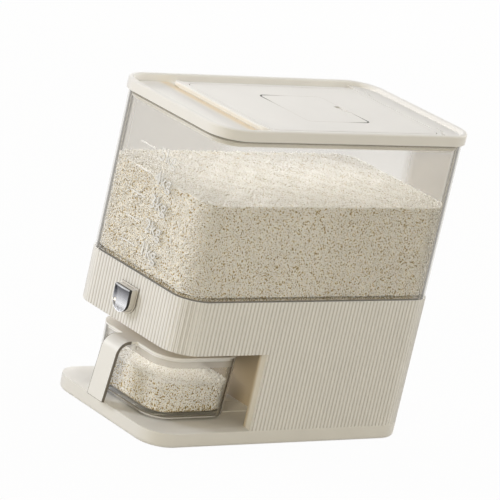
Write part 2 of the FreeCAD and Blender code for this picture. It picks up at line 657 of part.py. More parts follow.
def fluted_body():
    """The fluted shell: bay cut out of its front, a ledge for the hopper and four screw bosses."""
    outline = flute_outline(S.body_width.value, S.body_depth.value, S.body_corner.value,
                            S.flute_pitch.value, S.flute_height.value, (FRONT.value + REAR.value) / 2)
    outline.translate(Vector(0, 0, TRAY_TOP.value))
    shell = outline.extrude(Vector(0, 0, S.body_height.value))
    shell = shell.cut(rounded_prism(SHELL_PLAN, TRAY_TOP, S.body_height))
    bay = Part.makeBox(S.body_width.value * 2, S.bay_side_depth.value + S.body_corner.value,
                       S.bay_height.value,
                       Vector(-S.body_width.value, FRONT.value - S.body_corner.value, TRAY_TOP.value))
    shell = shell.cut(bay)
    overlap = S.body_wall / 2
    ledge_outer = inside(BODY_PLAN, SHELL - overlap)
    ledge_base = LEDGE_TOP - S.ledge_thickness
    ledge = rounded_prism(ledge_outer, ledge_base, S.ledge_thickness)
    ledge = ledge.cut(rounded_prism(inside(SHELL_PLAN, S.ledge_width), ledge_base, S.ledge_thickness))
    pieces = [ledge]
    boss_radius = S.screw_radius.value + S.boss_wall.value
    boss_height = S.screw_grip.value
    for x, y in screw_places():
        foot = Vector(x.value, y.value, TRAY_TOP.value)
        pieces.append(Part.makeCylinder(boss_radius, boss_height, foot))
        web = (S.screw_inset - SHELL + overlap).value
        corner = Vector(x.value if x.value > 0 else x.value - web, y.value - S.boss_wall.value / 2,
                        TRAY_TOP.value)
        pieces.append(Part.makeBox(web, S.boss_wall.value, boss_height, corner))
    shell = shell.fuse(pieces)
    holes = [Part.makeCylinder((S.screw_radius + S.fit_gap).value, boss_height,
                               Vector(x.value, y.value, TRAY_TOP.value)) for x, y in screw_places()]
    clear = S.fit_gap
    holes.append(shield_prism(TUBE_HALF + clear, TUBE_TOP + clear, TUBE_BOTTOM - clear,
                              FRONT - S.body_wall, SHELL + S.body_wall * 2))
    shell = shell.cut(holes)
    item = doc.addObject("Part::Feature", "fluted_body")
    item.Label = "fluted_body"
    item.Shape = shell
    item.Placement = Placement()
    return item


def bay_liner():
    """The smooth lining of the bay: jambs, inner walls, back wall and ceiling."""
    body = new_body("bay_liner")
    edge = INNER_X - S.part_gap
    outer = INNER_X - S.bay_side_room
    inner = outer - S.liner_wall
    plan = sketch_on(body, "XY_Plane", TRAY_TOP, "walls_plan")
    add_polygon(plan, (
        (-edge, BAY_JAMB), (-inner, BAY_JAMB), (-inner, BAY_BACK), (inner, BAY_BACK),
        (inner, BAY_JAMB), (edge, BAY_JAMB), (edge, BAY_JAMB + S.liner_wall),
        (outer, BAY_JAMB + S.liner_wall), (outer, BAY_BACK + S.liner_wall),
        (-outer, BAY_BACK + S.liner_wall), (-outer, BAY_JAMB + S.liner_wall),
        (-edge, BAY_JAMB + S.liner_wall)), "wall")
    pad(body, plan, S.bay_height, "walls")
    top = sketch_on(body, "XY_Plane", CEILING, "ceiling_plan")
    add_rounded(top, -edge, edge, INNER_FRONT + S.part_gap, BAY_BACK + S.liner_wall,
                INNER_CORNER - S.part_gap, "ceiling")
    pad(body, top, S.liner_wall, "ceiling")
    hole = sketch_on(body, "XY_Plane", CEILING_TOP, "outlet_plan")
    half_x = S.outlet_width / 2 + S.chute_wall + S.fit_gap
    half_y = S.outlet_length / 2 + S.chute_wall + S.fit_gap
    add_rectangle(hole, -half_x, half_x, OUTLET_Y - half_y, OUTLET_Y + half_y, "hole")
    for index, (x, y) in enumerate(gate_screw_places()):
        add_circle(hole, x, y, S.gate_screw_radius + S.fit_gap, f"screw{index}")
    pocket(body, hole, S.liner_wall, "outlet_hole")
    return body


def outlet_plan(margin):
    """Rectangle round the rice outlet, larger by a margin on every side."""
    half_x = S.outlet_width / 2 + margin
    half_y = S.outlet_length / 2 + margin
    return (-half_x, half_x, OUTLET_Y - half_y, OUTLET_Y + half_y)


def guide_plan(body, level, name):
    """The outline that the chute's flange and the shutter guide share, with its screw holes."""
    sketch = sketch_on(body, "XY_Plane", level, name)
    half_x = S.outlet_width / 2 + S.chute_wall + S.part_gap + S.guide_rail * 2
    half_y = S.outlet_length / 2 + S.guide_margin
    add_rectangle(sketch, -half_x, half_x, OUTLET_Y - half_y, OUTLET_Y + half_y, "edge")
    for index, (x, y) in enumerate(gate_screw_places()):
        add_circle(sketch, x, y, S.gate_screw_radius + S.fit_gap, f"screw{index}")
    return sketch


def outlet_chute():
    """The spout through the bay's ceiling, hung by its flange."""
    body = new_body("outlet_chute")
    flange = guide_plan(body, CEILING_TOP, "flange_plan")
    pad(body, flange, S.chute_flange, "flange")
    spout = sketch_on(body, "XY_Plane", CEILING_TOP + S.chute_flange / 2, "spout_plan")
    add_rectangle(spout, *outlet_plan(S.chute_wall), "spout")
    drop = S.liner_wall + S.chute_drop + S.chute_flange / 2
    pad(body, spout, drop, "spout", reverse=True)
    bore = sketch_on(body, "XY_Plane", CHUTE_TOP, "bore_plan")
    add_rectangle(bore, *outlet_plan(ZERO), "bore")
    pocket(body, bore, drop + S.chute_flange, "bore")
    return body


def slot_rows(shift):
    """Front and back of each slot in the shutter or its guide."""
    rows = []
    for side in SIDES:
        middle = OUTLET_Y + S.button_travel * side + shift
        rows.append((middle - S.shutter_slot / 2, middle + S.shutter_slot / 2))
    return rows


SHUTTER_HALF = S.outlet_width / 2 + S.chute_wall
ARM_FRONT = FRONT + S.tube_depth + S.bezel_wall + S.spring_cup_depth + S.bezel_wall + S.part_gap
ARM_BACK = ARM_FRONT + S.arm_thickness


def shutter_guide():
    """The fixed slotted plate over the shutter, on two side rails."""
    body = new_body("shutter_guide")
    plate = guide_plan(body, GUIDE_BASE, "plate_plan")
    pad(body, plate, S.guide_thickness, "plate")
    rails = sketch_on(body, "XY_Plane", CHUTE_TOP, "rails_plan")
    inner = SHUTTER_HALF + S.part_gap
    outer = inner + S.guide_rail * 2
    half_y = S.outlet_length / 2 + S.guide_margin
    for side in SIDES:
        left, right = (inner, outer) if side > 0 else (-outer, -inner)
        name = "right" if side > 0 else "left"
        add_rectangle(rails, left, right, OUTLET_Y - half_y, OUTLET_Y + half_y, name)
    for index, (x, y) in enumerate(gate_screw_places()):
        add_circle(rails, x, y, S.gate_screw_radius + S.fit_gap, f"screw{index}")
    pad(body, rails, GUIDE_BASE - CHUTE_TOP, "rails")
    slots = sketch_on(body, "XY_Plane", GUIDE_TOP, "slots_plan")
    half_x = S.outlet_width / 2
    for index, (low, high) in enumerate(slot_rows(ZERO)):
        add_rectangle(slots, -half_x, half_x, low, high, f"slot{index}")
    pocket(body, slots, S.guide_thickness, "slots")
    return body


def shutter():
    """The slotted sliding plate that closes the outlet until the button is pressed."""
    body = new_body("shutter")
    plan = sketch_on(body, "XY_Plane", SHUTTER_BASE, "plate_plan")
    back = OUTLET_Y + S.outlet_length / 2 + S.guide_margin - S.button_travel
    half_x = S.outlet_width / 2
    add_rectangle(plan, -SHUTTER_HALF, SHUTTER_HALF, ARM_FRONT - S.arm_thickness, back, "plate")
    for index, (low, high) in enumerate(slot_rows(-S.button_travel)):
        add_rectangle(plan, -half_x, half_x, low, high, f"slot{index}")
    pad(body, plan, S.shutter_thickness, "plate")
    return body


def gate_screws():
    """The screws that hold the shutter guide and the chute to the bay's ceiling."""
    length = GUIDE_TOP - CEILING - S.part_gap
    screws = []
    for index, (x, y) in enumerate(gate_screw_places()):
        screws.append(screw(f"gate_screw{index}", x, y, GUIDE_TOP, S.gate_head_radius,
                            S.gate_head_height, S.gate_screw_radius, length, False))
    return group_of("gate_screws", screws)


def funnel_sections(margin):
    """Top and bottom outlines of the funnel's slopes, moved inwards by a margin."""
    top = inside(SHELL_PLAN, S.ledge_width + S.part_gap + margin)
    collar = S.funnel_wall - margin
    left, right, low, high = outlet_plan(collar)
    return top, (left, right, low, high, collar + S.funnel_wall)


FUNNEL_FOOT = GUIDE_TOP + S.outlet_collar


def funnel():
    """The hopper's sloping floor, hung by its flange, with a collar on the shutter guide."""
    body = new_body("funnel")
    flange = sketch_on(body, "XY_Plane", LEDGE_TOP, "flange_plan")
    add_rounded(flange, *inside(SHELL_PLAN, S.part_gap), "flange")
    pad(body, flange, S.ledge_thickness, "flange")
    outer_top, outer_foot = funnel_sections(ZERO)
    upper = sketch_on(body, "XY_Plane", LEDGE_TOP + S.ledge_thickness / 2, "outer_top_plan")
    add_rounded(upper, *outer_top, "top")
    lower = sketch_on(body, "XY_Plane", FUNNEL_FOOT, "outer_foot_plan")
    add_rounded(lower, *outer_foot, "foot")
    loft(body, (upper, lower), "slopes")
    collar = sketch_on(body, "XY_Plane", GUIDE_TOP, "collar_plan")
    add_rounded(collar, *outer_foot, "collar")
    pad(body, collar, S.outlet_collar, "collar")
    inner_top, inner_foot = funnel_sections(S.funnel_wall)
    mouth = sketch_on(body, "XY_Plane", FLANGE_TOP, "inner_top_plan")
    add_rounded(mouth, *inner_top, "top")
    throat = sketch_on(body, "XY_Plane", FUNNEL_FOOT, "inner_foot_plan")
    add_rounded(throat, *inner_foot, "foot")
    loft(body, (mouth, throat), "hollow", subtract=True)
    bore = sketch_on(body, "XY_Plane", FUNNEL_FOOT, "bore_plan")
    add_rounded(bore, *inner_foot, "bore")
    pocket(body, bore, S.outlet_collar, "bore")
    return body


def button_bezel():
    """The trim ring on the body's front with the button's guide tube and spring cup behind it."""
    body = new_body("button_bezel")
    flange = sketch_on(body, "XZ_Plane", -FRONT, "flange_plan")
    lip = S.bezel_lip
    add_shield(flange, TUBE_HALF + lip, TUBE_TOP + lip, TUBE_BOTTOM - lip, "flange")
    pad(body, flange, S.bezel_proud, "flange")
    tube = sketch_on(body, "XZ_Plane", -FRONT, "tube_plan")
    add_shield(tube, TUBE_HALF, TUBE_TOP, TUBE_BOTTOM, "tube")
    pad(body, tube, S.tube_depth + S.bezel_wall, "tube", reverse=True)
    wall_back = FRONT + S.tube_depth + S.bezel_wall
    spring_cup = sketch_on(body, "XZ_Plane", -wall_back + S.bezel_wall, "spring_cup_plan")
    cup_radius = S.spring_radius + S.spring_wire + S.part_gap
    add_circle(spring_cup, ZERO, ROD_Z, cup_radius + S.bezel_wall, "spring_cup")
    pad(body, spring_cup, S.spring_cup_depth + S.bezel_wall * 2, "spring_cup", reverse=True)
    bore = sketch_on(body, "XZ_Plane", -FRONT + S.bezel_proud, "bore_plan")
    gap = S.part_gap
    add_shield(bore, S.button_width / 2 + gap, BUTTON_TOP + gap, BUTTON_TOP - S.button_drop - gap, "bore")
    pocket(body, bore, S.bezel_proud + S.tube_depth, "bore")
    well = sketch_on(body, "XZ_Plane", -FRONT, "well_plan")
    add_circle(well, ZERO, ROD_Z, cup_radius, "well")
    pocket(body, well, S.tube_depth + S.bezel_wall + S.spring_cup_depth, "well")
    guide = sketch_on(body, "XZ_Plane", -FRONT, "guide_plan")
    add_circle(guide, ZERO, ROD_Z, S.rod_radius + S.fit_gap, "guide")
    depth = S.tube_depth + S.spring_cup_depth + S.bezel_wall * 3
    pocket(body, guide, depth, "rod_guide")
    return body


BUTTON_FACE = FRONT - S.button_proud
BUTTON_BACK = FRONT + S.tube_depth - S.button_travel - S.part_gap


def button_cap():
    """The button's glossy body: a shield-shaped plug with a recess for its face plate."""
    body = new_body("button_cap")
    front = sketch_on(body, "XZ_Plane", -BUTTON_FACE, "outline")
    add_shield(front, S.button_width / 2, BUTTON_TOP, BUTTON_TOP - S.button_drop, "cap")
    pad(body, front, BUTTON_BACK - BUTTON_FACE, "plug", reverse=True)
    recess = sketch_on(body, "XZ_Plane", -BUTTON_FACE, "recess_plan")
    inset = S.face_border - S.fit_gap
    add_shield(recess, S.button_width / 2 - inset, BUTTON_TOP - inset,
               BUTTON_TOP - S.button_drop + inset, "recess")
    pocket(body, recess, S.face_depth, "recess")
    socket = sketch_on(body, "XZ_Plane", -BUTTON_BACK, "socket_plan")
    add_circle(socket, ZERO, ROD_Z, S.rod_radius + S.fit_gap, "socket")
    pocket(body, socket, S.rod_socket, "socket", along_normal=True)
    return body


def button_face():
    """The bright face plate, dished from top to bottom for the thumb."""
    body = new_body("button_face")
    plate = sketch_on(body, "XZ_Plane", -BUTTON_FACE, "plate_plan")
    low = BUTTON_TOP - S.button_drop + S.face_border
    high = BUTTON_TOP - S.face_border
    add_shield(plate, S.button_width / 2 - S.face_border, high, low, "plate")
    pad(body, plate, S.face_depth, "plate", reverse=True)
    chord = (high - low) / 2
    dish_radius = (chord * chord + S.face_dish * S.face_dish) / (S.face_dish * 2)
    dish = sketch_on(body, "YZ_Plane", -S.button_width, "dish_plan")
    add_circle(dish, BUTTON_FACE + S.face_dish - dish_radius, (high + low) / 2, dish_radius, "dish")
    pocket(body, dish, S.button_width * 2, "dish", along_normal=True)
    return body


def push_rod():
    """The rod from the button to the shutter, with the arm that drops to the shutter's edge."""
    body = new_body("push_rod")
    start = BUTTON_BACK - S.rod_socket + S.part_gap
    rod = sketch_on(body, "XZ_Plane", -start, "rod_plan")
    add_circle(rod, ZERO, ROD_Z, S.rod_radius, "rod")
    pad(body, rod, ARM_BACK - start, "rod", reverse=True)
    arm = sketch_on(body, "XZ_Plane", -ARM_FRONT, "arm_plan")
    add_rectangle(arm, -S.arm_width / 2, S.arm_width / 2, SHUTTER_TOP, ROD_Z + S.rod_radius, "arm")
    pad(body, arm, S.arm_thickness, "arm", reverse=True)
    return body


def return_spring():
    """The coil spring round the push rod, between the button and the spring cup."""
    seat = FRONT + S.tube_depth + S.bezel_wall + S.spring_cup_depth
    length = (seat - BUTTON_BACK).value - 2 * S.spring_wire.value - 2 * S.fit_gap.value
    wire = S.spring_wire.value
    coil = S.spring_radius.value
    pitch = length / S.spring_turns.value
    helix = Part.makeHelix(pitch, length, coil)
    outward = Vector(1, 0, 0)
    across = Vector(0, 2 * math.pi * coil, pitch).normalize().cross(outward)
    corners = []
    for step in range(WIRE_SIDES + 1):
        angle = 2 * math.pi * step / WIRE_SIDES
        corners.append((outward * coil) + (outward * math.cos(angle) + across * math.sin(angle)) * wire)
    spring = Part.Wire(helix).makePipeShell([Part.makePolygon(corners)], True, True)
    item = doc.addObject("Part::Feature", "return_spring")
    item.Label = "return_spring"
    item.Shape = spring
    start = BUTTON_BACK.value + wire + S.fit_gap.value
    item.Placement = Placement(Vector(0, start, ROD_Z.value), Rotation(Vector(1, 0, 0), -90))
    return item


def hopper_seal():
    """The silicone ring between the funnel's flange and the hopper's skirt."""
    body = new_body("hopper_seal")
    plan = inside(BIN_PLAN, S.bin_wall + S.part_gap)
    ring(body, plan, inside(plan, S.seal_width), FLANGE_TOP, S.seal_height, "seal")
    return body


def hopper():
    """The clear hopper: straight walls, a foot flange, a skirt inside the body, level marks."""
    body = new_body("hopper")
    inner = inside(BIN_PLAN, S.bin_wall)
    ring(body, BIN_PLAN, inner, BODY_TOP, S.bin_height, "walls")
    skirt_plan = inside(inner, S.part_gap)
    opening = inside(skirt_plan, S.bin_skirt)
    ring(body, skirt_plan, opening, SEAL_TOP, BODY_TOP + S.bin_foot - SEAL_TOP, "skirt")
    ring(body, inside(BIN_PLAN, S.bin_wall / 2), opening, BODY_TOP, S.bin_foot, "foot")
    marks = sketch_on(body, "XZ_Plane", -BIN_FRONT - S.bin_wall / 2, "marks_plan")
    for index in range(MARK_COUNT):
        middle = BODY_TOP + S.tick_first + S.tick_pitch * index
        add_rectangle(marks, -S.tick_left, -S.tick_left + S.tick_length,
                      middle - S.tick_width / 2, middle + S.tick_width / 2, f"mark{index}")
    pad(body, marks, S.bin_wall / 2 + S.tick_proud, "level_marks")
    return body


LID_PLAN = (-HALF_WIDTH - S.lid_overhang, HALF_WIDTH + S.lid_overhang,
            FRONT - S.lid_end_overhang, REAR + S.lid_end_overhang, S.body_corner + S.lid_overhang)
PLUG_PLAN = inside(BIN_PLAN, S.bin_wall + S.part_gap + S.gasket_width)
MOUTH_PLAN = inside(FLAP_PLAN, S.flap_lap)


def knuckle_spans(width, gap):
    """Left and right of each knuckle, widened by a gap."""
    spans = []
    for side in SIDES:
        middle = S.knuckle_offset * side
        spans.append((middle - width / 2 - gap, middle + width / 2 + gap))
    return spans


def lid_frame():
    """The lid: raised rim, recessed deck with the filling mouth, plug and a rear shelf for the hinge."""
    body = new_body("lid_frame")
    shelf = sketch_on(body, "XY_Plane", DECK_BASE, "shelf_plan")
    left, right, _, high, _ = inside(LID_PLAN, S.lid_rim / 2)
    add_rectangle(shelf, left, right, SHELF_FRONT, high, "shelf")
    pad(body, shelf, FLAP_TOP - DECK_BASE, "shelf")
    trim = sketch_on(body, "XY_Plane", LID_TOP, "shelf_trim_plan")
    add_rounded(trim, *inside(LID_PLAN, -S.lid_rim * 2), "outer")
    add_rounded(trim, *inside(LID_PLAN, S.lid_rim / 2), "inner")
    pocket(body, trim, S.lid_height, "shelf_trim")
    rim_base = BIN_TOP + S.part_gap
    rim = ring(body, LID_PLAN, inside(LID_PLAN, S.lid_rim), rim_base, LID_TOP - rim_base, "rim")
    top = LID_TOP.value
    round_edges(body, rim, lambda at: abs(at.z - top) < AT_LEVEL, S.lid_rim_round, "rim_top")
    ring(body, inside(LID_PLAN, S.lid_rim / 2), MOUTH_PLAN, DECK_BASE, S.lid_deck, "deck")
    plug_inner = inside(PLUG_PLAN, S.plug_wall)
    ring(body, PLUG_PLAN, plug_inner, DECK_BASE - S.lid_plug, S.lid_plug + S.lid_deck / 2, "plug")
    relief = sketch_on(body, "XY_Plane", DECK_BASE, "shelf_relief_plan")
    half = S.knuckle_offset - S.knuckle_width
    add_rectangle(relief, -half, half, SHELF_FRONT + S.lid_deck, plug_inner[3] - S.lid_deck, "relief")
    pocket(body, relief, FLAP_TOP - S.lid_deck - DECK_BASE, "shelf_relief", along_normal=True)
    ears = sketch_on(body, "XY_Plane", FLAP_TOP, "ears_plan")
    ear_back = HINGE_Y + S.pin_radius + S.knuckle_wall * 2
    for index, (left, right) in enumerate(knuckle_spans(S.knuckle_width, S.part_gap + S.ear_width)):
        add_rectangle(ears, left, right, SHELF_FRONT, ear_back + S.ear_wall, f"ear{index}")
    knuckle_drop = FLAP_TOP - HINGE_Z + S.pin_radius + S.knuckle_wall
    pad(body, ears, knuckle_drop + S.ear_wall, "ears", reverse=True)
    slots = sketch_on(body, "XY_Plane", FLAP_TOP, "knuckle_slots_plan")
    for index, (left, right) in enumerate(knuckle_spans(S.knuckle_width, S.part_gap)):
        add_rectangle(slots, left, right, SHELF_FRONT - S.lid_deck, ear_back, f"slot{index}")
    pocket(body, slots, knuckle_drop + S.part_gap, "knuckle_slots")
    bores = sketch_on(body, "YZ_Plane", -S.flap_width / 2, "pin_bores_profile")
    add_circle(bores, HINGE_Y, HINGE_Z, S.pin_radius + S.fit_gap, "bore")
    pocket(body, bores, S.flap_width, "pin_bores", along_normal=True)
    return body


def lid_gasket():
    """The silicone ring round the lid's plug."""
    body = new_body("lid_gasket")
    outer = inside(PLUG_PLAN, -S.gasket_width)
    base = DECK_BASE - S.lid_plug + S.plug_wall
    ring(body, outer, inside(PLUG_PLAN, -S.fit_gap), base, S.gasket_height, "gasket")
    return body


def pocket_plan(grow):
    """The desiccant pocket's rectangle, larger by an amount on every side."""
    low = FLAP_FRONT + S.pocket_front
    half = S.pocket_width / 2 + grow
    return (-half, half, low - grow, low + S.pocket_length + grow)


def lid_flap():
    """The filling flap: plate with an upturned front lip, hinge knuckles and a desiccant pocket."""
    body = new_body("lid_flap")
    profile = sketch_on(body, "YZ_Plane", -S.flap_width / 2, "plate_profile")
    slope_end = FLAP_FRONT + S.flap_lip_length
    add_polygon(profile, ((FLAP_FRONT, LIP_TOP - S.flap_lip_edge), (FLAP_FRONT + S.flap_lip_reach, FLAP_BASE),
                          (FLAP_REAR, FLAP_BASE), (FLAP_REAR, FLAP_TOP), (slope_end, FLAP_TOP),
                          (FLAP_FRONT + S.flap_lip_crest, LIP_TOP), (FLAP_FRONT, LIP_TOP)), "plate")
    pad(body, profile, S.flap_width, "plate")
    trim = sketch_on(body, "XY_Plane", LIP_TOP, "corner_trim_plan")
    add_rounded(trim, *inside(FLAP_PLAN, -S.flap_corner), "outer")
    add_rounded(trim, *FLAP_PLAN, "inner")
    pocket(body, trim, (LIP_TOP - FLAP_BASE) * 2, "corner_trim")
    seam = sketch_on(body, "XY_Plane", FLAP_TOP, "seam_plan")
    left, right, _, high, radius = inside(FLAP_PLAN, S.seam_inset)
    seam_outer = (left, right, slope_end, high, radius)
    add_rounded(seam, *seam_outer, "outer")
    add_rounded(seam, *inside(seam_outer, S.seam_width), "inner")
    pocket(body, seam, S.seam_depth, "seam")
    walls = sketch_on(body, "XY_Plane", FLAP_BASE + S.lid_deck / 2, "pocket_walls_plan")
    add_rectangle(walls, *pocket_plan(S.pocket_wall), "walls")
    pad(body, walls, S.pocket_drop + S.lid_deck / 2, "pocket_walls", reverse=True)
    hollow = sketch_on(body, "XY_Plane", FLAP_TOP, "pocket_plan")
    add_rectangle(hollow, *pocket_plan(ZERO), "hollow")
    pocket(body, hollow, S.lid_deck + S.pocket_drop - S.pocket_wall, "pocket_hollow")
    rebate = sketch_on(body, "XY_Plane", FLAP_TOP, "rebate_plan")
    add_rounded(rebate, *pocket_plan(S.cover_lap + S.part_gap), S.cover_corner + S.part_gap, "rebate")
    pocket(body, rebate, S.cover_thickness + S.part_gap, "rebate")
    vents = sketch_on(body, "XY_Plane", FLAP_BASE, "vents_plan")
    left, right, low, high = pocket_plan(-S.vent_inset)
    step = (high - low) / (VENT_COUNT - 1)
    half = S.vent_width / 2
    for index in range(VENT_COUNT):
        middle = low + step * index
        add_rectangle(vents, left, right, middle - half, middle + half, f"vent{index}")
    pocket(body, vents, S.pocket_drop, "vents")
    knuckles = sketch_on(body, "YZ_Plane", -S.knuckle_offset - S.knuckle_width / 2, "knuckle_profile")
    radius = S.pin_radius + S.knuckle_wall
    add_circle(knuckles, HINGE_Y, HINGE_Z, radius, "knuckle")
    pad(body, knuckles, S.knuckle_width, "left_knuckle")
    mirror_side = sketch_on(body, "YZ_Plane", S.knuckle_offset - S.knuckle_width / 2, "right_profile")
    add_circle(mirror_side, HINGE_Y, HINGE_Z, radius, "knuckle")
    pad(body, mirror_side, S.knuckle_width, "right_knuckle")
    webs = sketch_on(body, "XY_Plane", FLAP_BASE, "webs_plan")
    for index, (low_x, high_x) in enumerate(knuckle_spans(S.knuckle_width, ZERO)):
        add_rectangle(webs, low_x, high_x, FLAP_REAR - S.lid_deck, HINGE_Y, f"web{index}")
    pad(body, webs, S.lid_deck, "webs")
    bores = sketch_on(body, "YZ_Plane", -S.flap_width / 2, "pin_bores_profile")
    add_circle(bores, HINGE_Y, HINGE_Z, S.pin_radius + S.fit_gap, "bore")
    pocket(body, bores, S.flap_width, "pin_bores", along_normal=True)
    return body


def flap_gasket():
    """The silicone ring under the flap, just above the deck round the filling mouth."""
    body = new_body("flap_gasket")
    outer = inside(FLAP_PLAN, S.flap_gasket_inset)
    height = S.flap_seat - S.part_gap
    ring(body, outer, inside(outer, S.flap_gasket_width), DECK_TOP + S.part_gap, height, "gasket")
    return body


def hinge_pins():
    """The two steel pins on the flap's hinge axis."""
    pins = []
    length = S.knuckle_width + (S.part_gap + S.pin_engagement) * 2
    for side in SIDES:
        name = "right_pin" if side > 0 else "left_pin"
        pin = add_primitive("Part::Cylinder", name, Radius=S.pin_radius, Height=length)
        start = S.knuckle_offset * side - length / 2
        pins.append(move_to(pin, start, HINGE_Y, HINGE_Z, Rotation(Vector(0, 1, 0), 90)))
    return group_of("hinge_pins", pins)


def desiccant_cover():
    """The lift-off cover over the flap's desiccant pocket, with a finger notch at its back."""
    body = new_body("desiccant_cover")
    plan = sketch_on(body, "XY_Plane", FLAP_TOP - S.cover_thickness, "cover_plan")
    add_rounded(plan, *pocket_plan(S.cover_lap), S.cover_corner, "cover")
    pad(body, plan, S.cover_thickness, "cover")
    notch = sketch_on(body, "XY_Plane", FLAP_TOP, "notch_plan")
    high = pocket_plan(S.cover_lap)[3]
    half = S.notch_width / 2
    add_rectangle(notch, -half, half, high - S.notch_length, high + S.notch_length, "notch")
    pocket(body, notch, S.cover_thickness, "notch")
    return body


def cup_sections(inset, low, high, rounding, body, name):
    """Outlines of the tapering cup from its rounded lower edge upwards, moved inwards by an inset."""
    sections = []
    for step in range(ROUND_STEPS + 1):
        angle = step * math.pi / 2 / ROUND_STEPS
        level = low + rounding * (1 - math.cos(angle))
        plan = inside(CUP_PLAN, S.cup_draft + inset + rounding * (1 - math.sin(angle)))
        sketch = sketch_on(body, "XY_Plane", level, f"{name}_round{step}_plan")
        add_rounded(sketch, *plan, "round")
        sections.append(sketch)
    top = sketch_on(body, "XY_Plane", high, f"{name}_top_plan")
    add_rounded(top, *inside(CUP_PLAN, inset), "top")
    return sections + [top]


def cup():
    """The clear measuring cup: tapering walls, a thick floor and two locating clips."""
    body = new_body("cup")
    loft(body, cup_sections(ZERO, CUP_BASE, COVER_BASE, S.cup_base_round, body, "outer"), "outside")
    sections = cup_sections(S.cup_wall, CUP_BASE + S.cup_floor, COVER_BASE, S.cup_base_round, body, "inner")
    loft(body, sections, "inside", subtract=True)
    clips = sketch_on(body, "XZ_Plane", -CUP_FRONT - S.cup_wall / 2, "clips_plan")
    clip_left = S.handle_width / 2 + S.part_gap
    for side in SIDES:
        near, far = clip_left, clip_left + S.clip_width
        name = "right" if side > 0 else "left"
        span = (near, far) if side > 0 else (-far, -near)
        add_rectangle(clips, *span, COVER_BASE - S.clip_height, COVER_BASE, name)
    pad(body, clips, S.cup_wall / 2 + S.clip_proud, "clips")
    seat = sketch_on(body, "XZ_Plane", -CUP_FRONT + S.cup_wall, "strap_seat_plan")
    add_rectangle(seat, -clip_left, clip_left, CUP_TOP - S.handle_thickness - S.part_gap,
                  CUP_TOP, "seat")
    pocket(body, seat, S.cup_wall * 2 + S.cup_draft, "strap_seat")
    return body


def strap_path(sketch):
    """The strap's middle line: out from the cover, round a bend, down and leaning out."""
    half = S.handle_thickness / 2
    start_y, start_z = CUP_FRONT + S.cup_corner / 2, CUP_TOP - half
    end_y = CUP_FRONT - S.handle_reach + half
    end_z = TRAY_TOP + S.handle_end
    bend_y = end_y + S.handle_splay + S.handle_bend
    y0, z0, r = start_y.value, start_z.value, S.handle_bend.value
    y1, ye, ze = bend_y.value, end_y.value, end_z.value
    lean = math.atan2(S.handle_splay.value, z0 - r - ze)
    touch_y, touch_z = y1 - r * math.cos(lean), z0 - r + r * math.sin(lean)
    sketch.addGeometry(Part.LineSegment(Vector(y0, z0, 0), Vector(y1, z0, 0)), False)
    circle = Part.Circle(Vector(y1, z0 - r, 0), Vector(0, 0, 1), r)
    sketch.addGeometry(Part.ArcOfCircle(circle, math.pi / 2, math.pi - lean), False)
    sketch.addGeometry(Part.LineSegment(Vector(touch_y, touch_z, 0), Vector(ye, ze, 0)), False)
    sketch.addConstraint(Sketcher.Constraint("Horizontal", 0))
    sketch.addConstraint(Sketcher.Constraint("Tangent", 0, 2, 1, 1))
    sketch.addConstraint(Sketcher.Constraint("Tangent", 1, 2, 2, 1))
    place_point(sketch, 0, 1, start_y, start_z, "start")
    place_point(sketch, 2, 2, end_y, end_z, "end")
    drive(sketch, "Radius", 1, size=S.handle_bend, name="bend")
    drive(sketch, "DistanceX", -1, 1, 1, 3, size=bend_y, name="bend_y")


def cup_cover():
    """The cup's cover with its inlet and skirt, and the strap handle that springs from it."""
    body = new_body("cup_cover")
    plate = sketch_on(body, "XY_Plane", COVER_BASE, "plate_plan")
    add_rounded(plate, *CUP_PLAN, "plate")
    pad(body, plate, S.cover_plate, "plate")
    skirt_plan = inside(CUP_PLAN, S.cup_wall + S.part_gap + S.fit_gap)
    skirt = sketch_on(body, "XY_Plane", COVER_BASE + S.cover_plate / 2, "skirt_plan")
    add_rounded(skirt, *skirt_plan, "outer")
    add_rounded(skirt, *inside(skirt_plan, S.cup_wall), "inner")
    pad(body, skirt, S.cover_skirt + S.cover_plate / 2, "skirt", reverse=True)
    path = sketch_on(body, "YZ_Plane", ZERO, "strap_path")
    strap_path(path)
    section = sketch_on(body, "XZ_Plane", -CUP_FRONT - S.cup_corner / 2, "strap_section")
    add_rectangle(section, -S.handle_width / 2, S.handle_width / 2,
                  CUP_TOP - S.handle_thickness, CUP_TOP, "strap")
    strap = body.newObject("PartDesign::AdditivePipe", "strap")
    strap.Profile = section
    strap.Spine = path
    inlet = sketch_on(body, "XY_Plane", CUP_TOP, "inlet_plan")
    inlet_low = CUP_FRONT + S.inlet_front
    add_rounded(inlet, -S.inlet_width / 2, S.inlet_width / 2, inlet_low, inlet_low + S.inlet_length,
                S.cup_corner / 2, "inlet")
    pocket(body, inlet, S.cover_plate * 2, "inlet")
    return body


def space_above_rice():
    """A block over the rice, whose lower face is the rice's uneven top, level along the walls."""
    left, right, low, high = (size.value for size in inside(BIN_PLAN, S.bin_wall)[:4])
    middle_y = (low + high) / 2
    level = (BODY_TOP + S.rice_level).value
    length = S.rice_ripple_length.value
    columns = round((right - left) / length * RIPPLE_STEPS)
    rows = round((high - low) / length * RIPPLE_STEPS)
    points = []
    for column in range(columns + 1):
        u = 2 * column / columns - 1
        x = right * u
        line = []
        for row in range(rows + 1):
            v = 2 * row / rows - 1
            y = middle_y + (high - low) / 2 * v
            wave = math.sin(2 * math.pi * x / length) * math.cos(2 * math.pi * y / length)
            line.append(Vector(x, y, level + S.rice_ripple.value * wave * (1 - u ** 4) * (1 - v ** 4)))
        points.append(line)
    surface = Part.BSplineSurface()
    surface.interpolate(points)
    item = doc.addObject("Part::Feature", "space_above_rice")
    item.Shape = surface.toShape().extrude(Vector(0, 0, (S.rice_ripple * RIPPLE_STEPS).value))
    return item


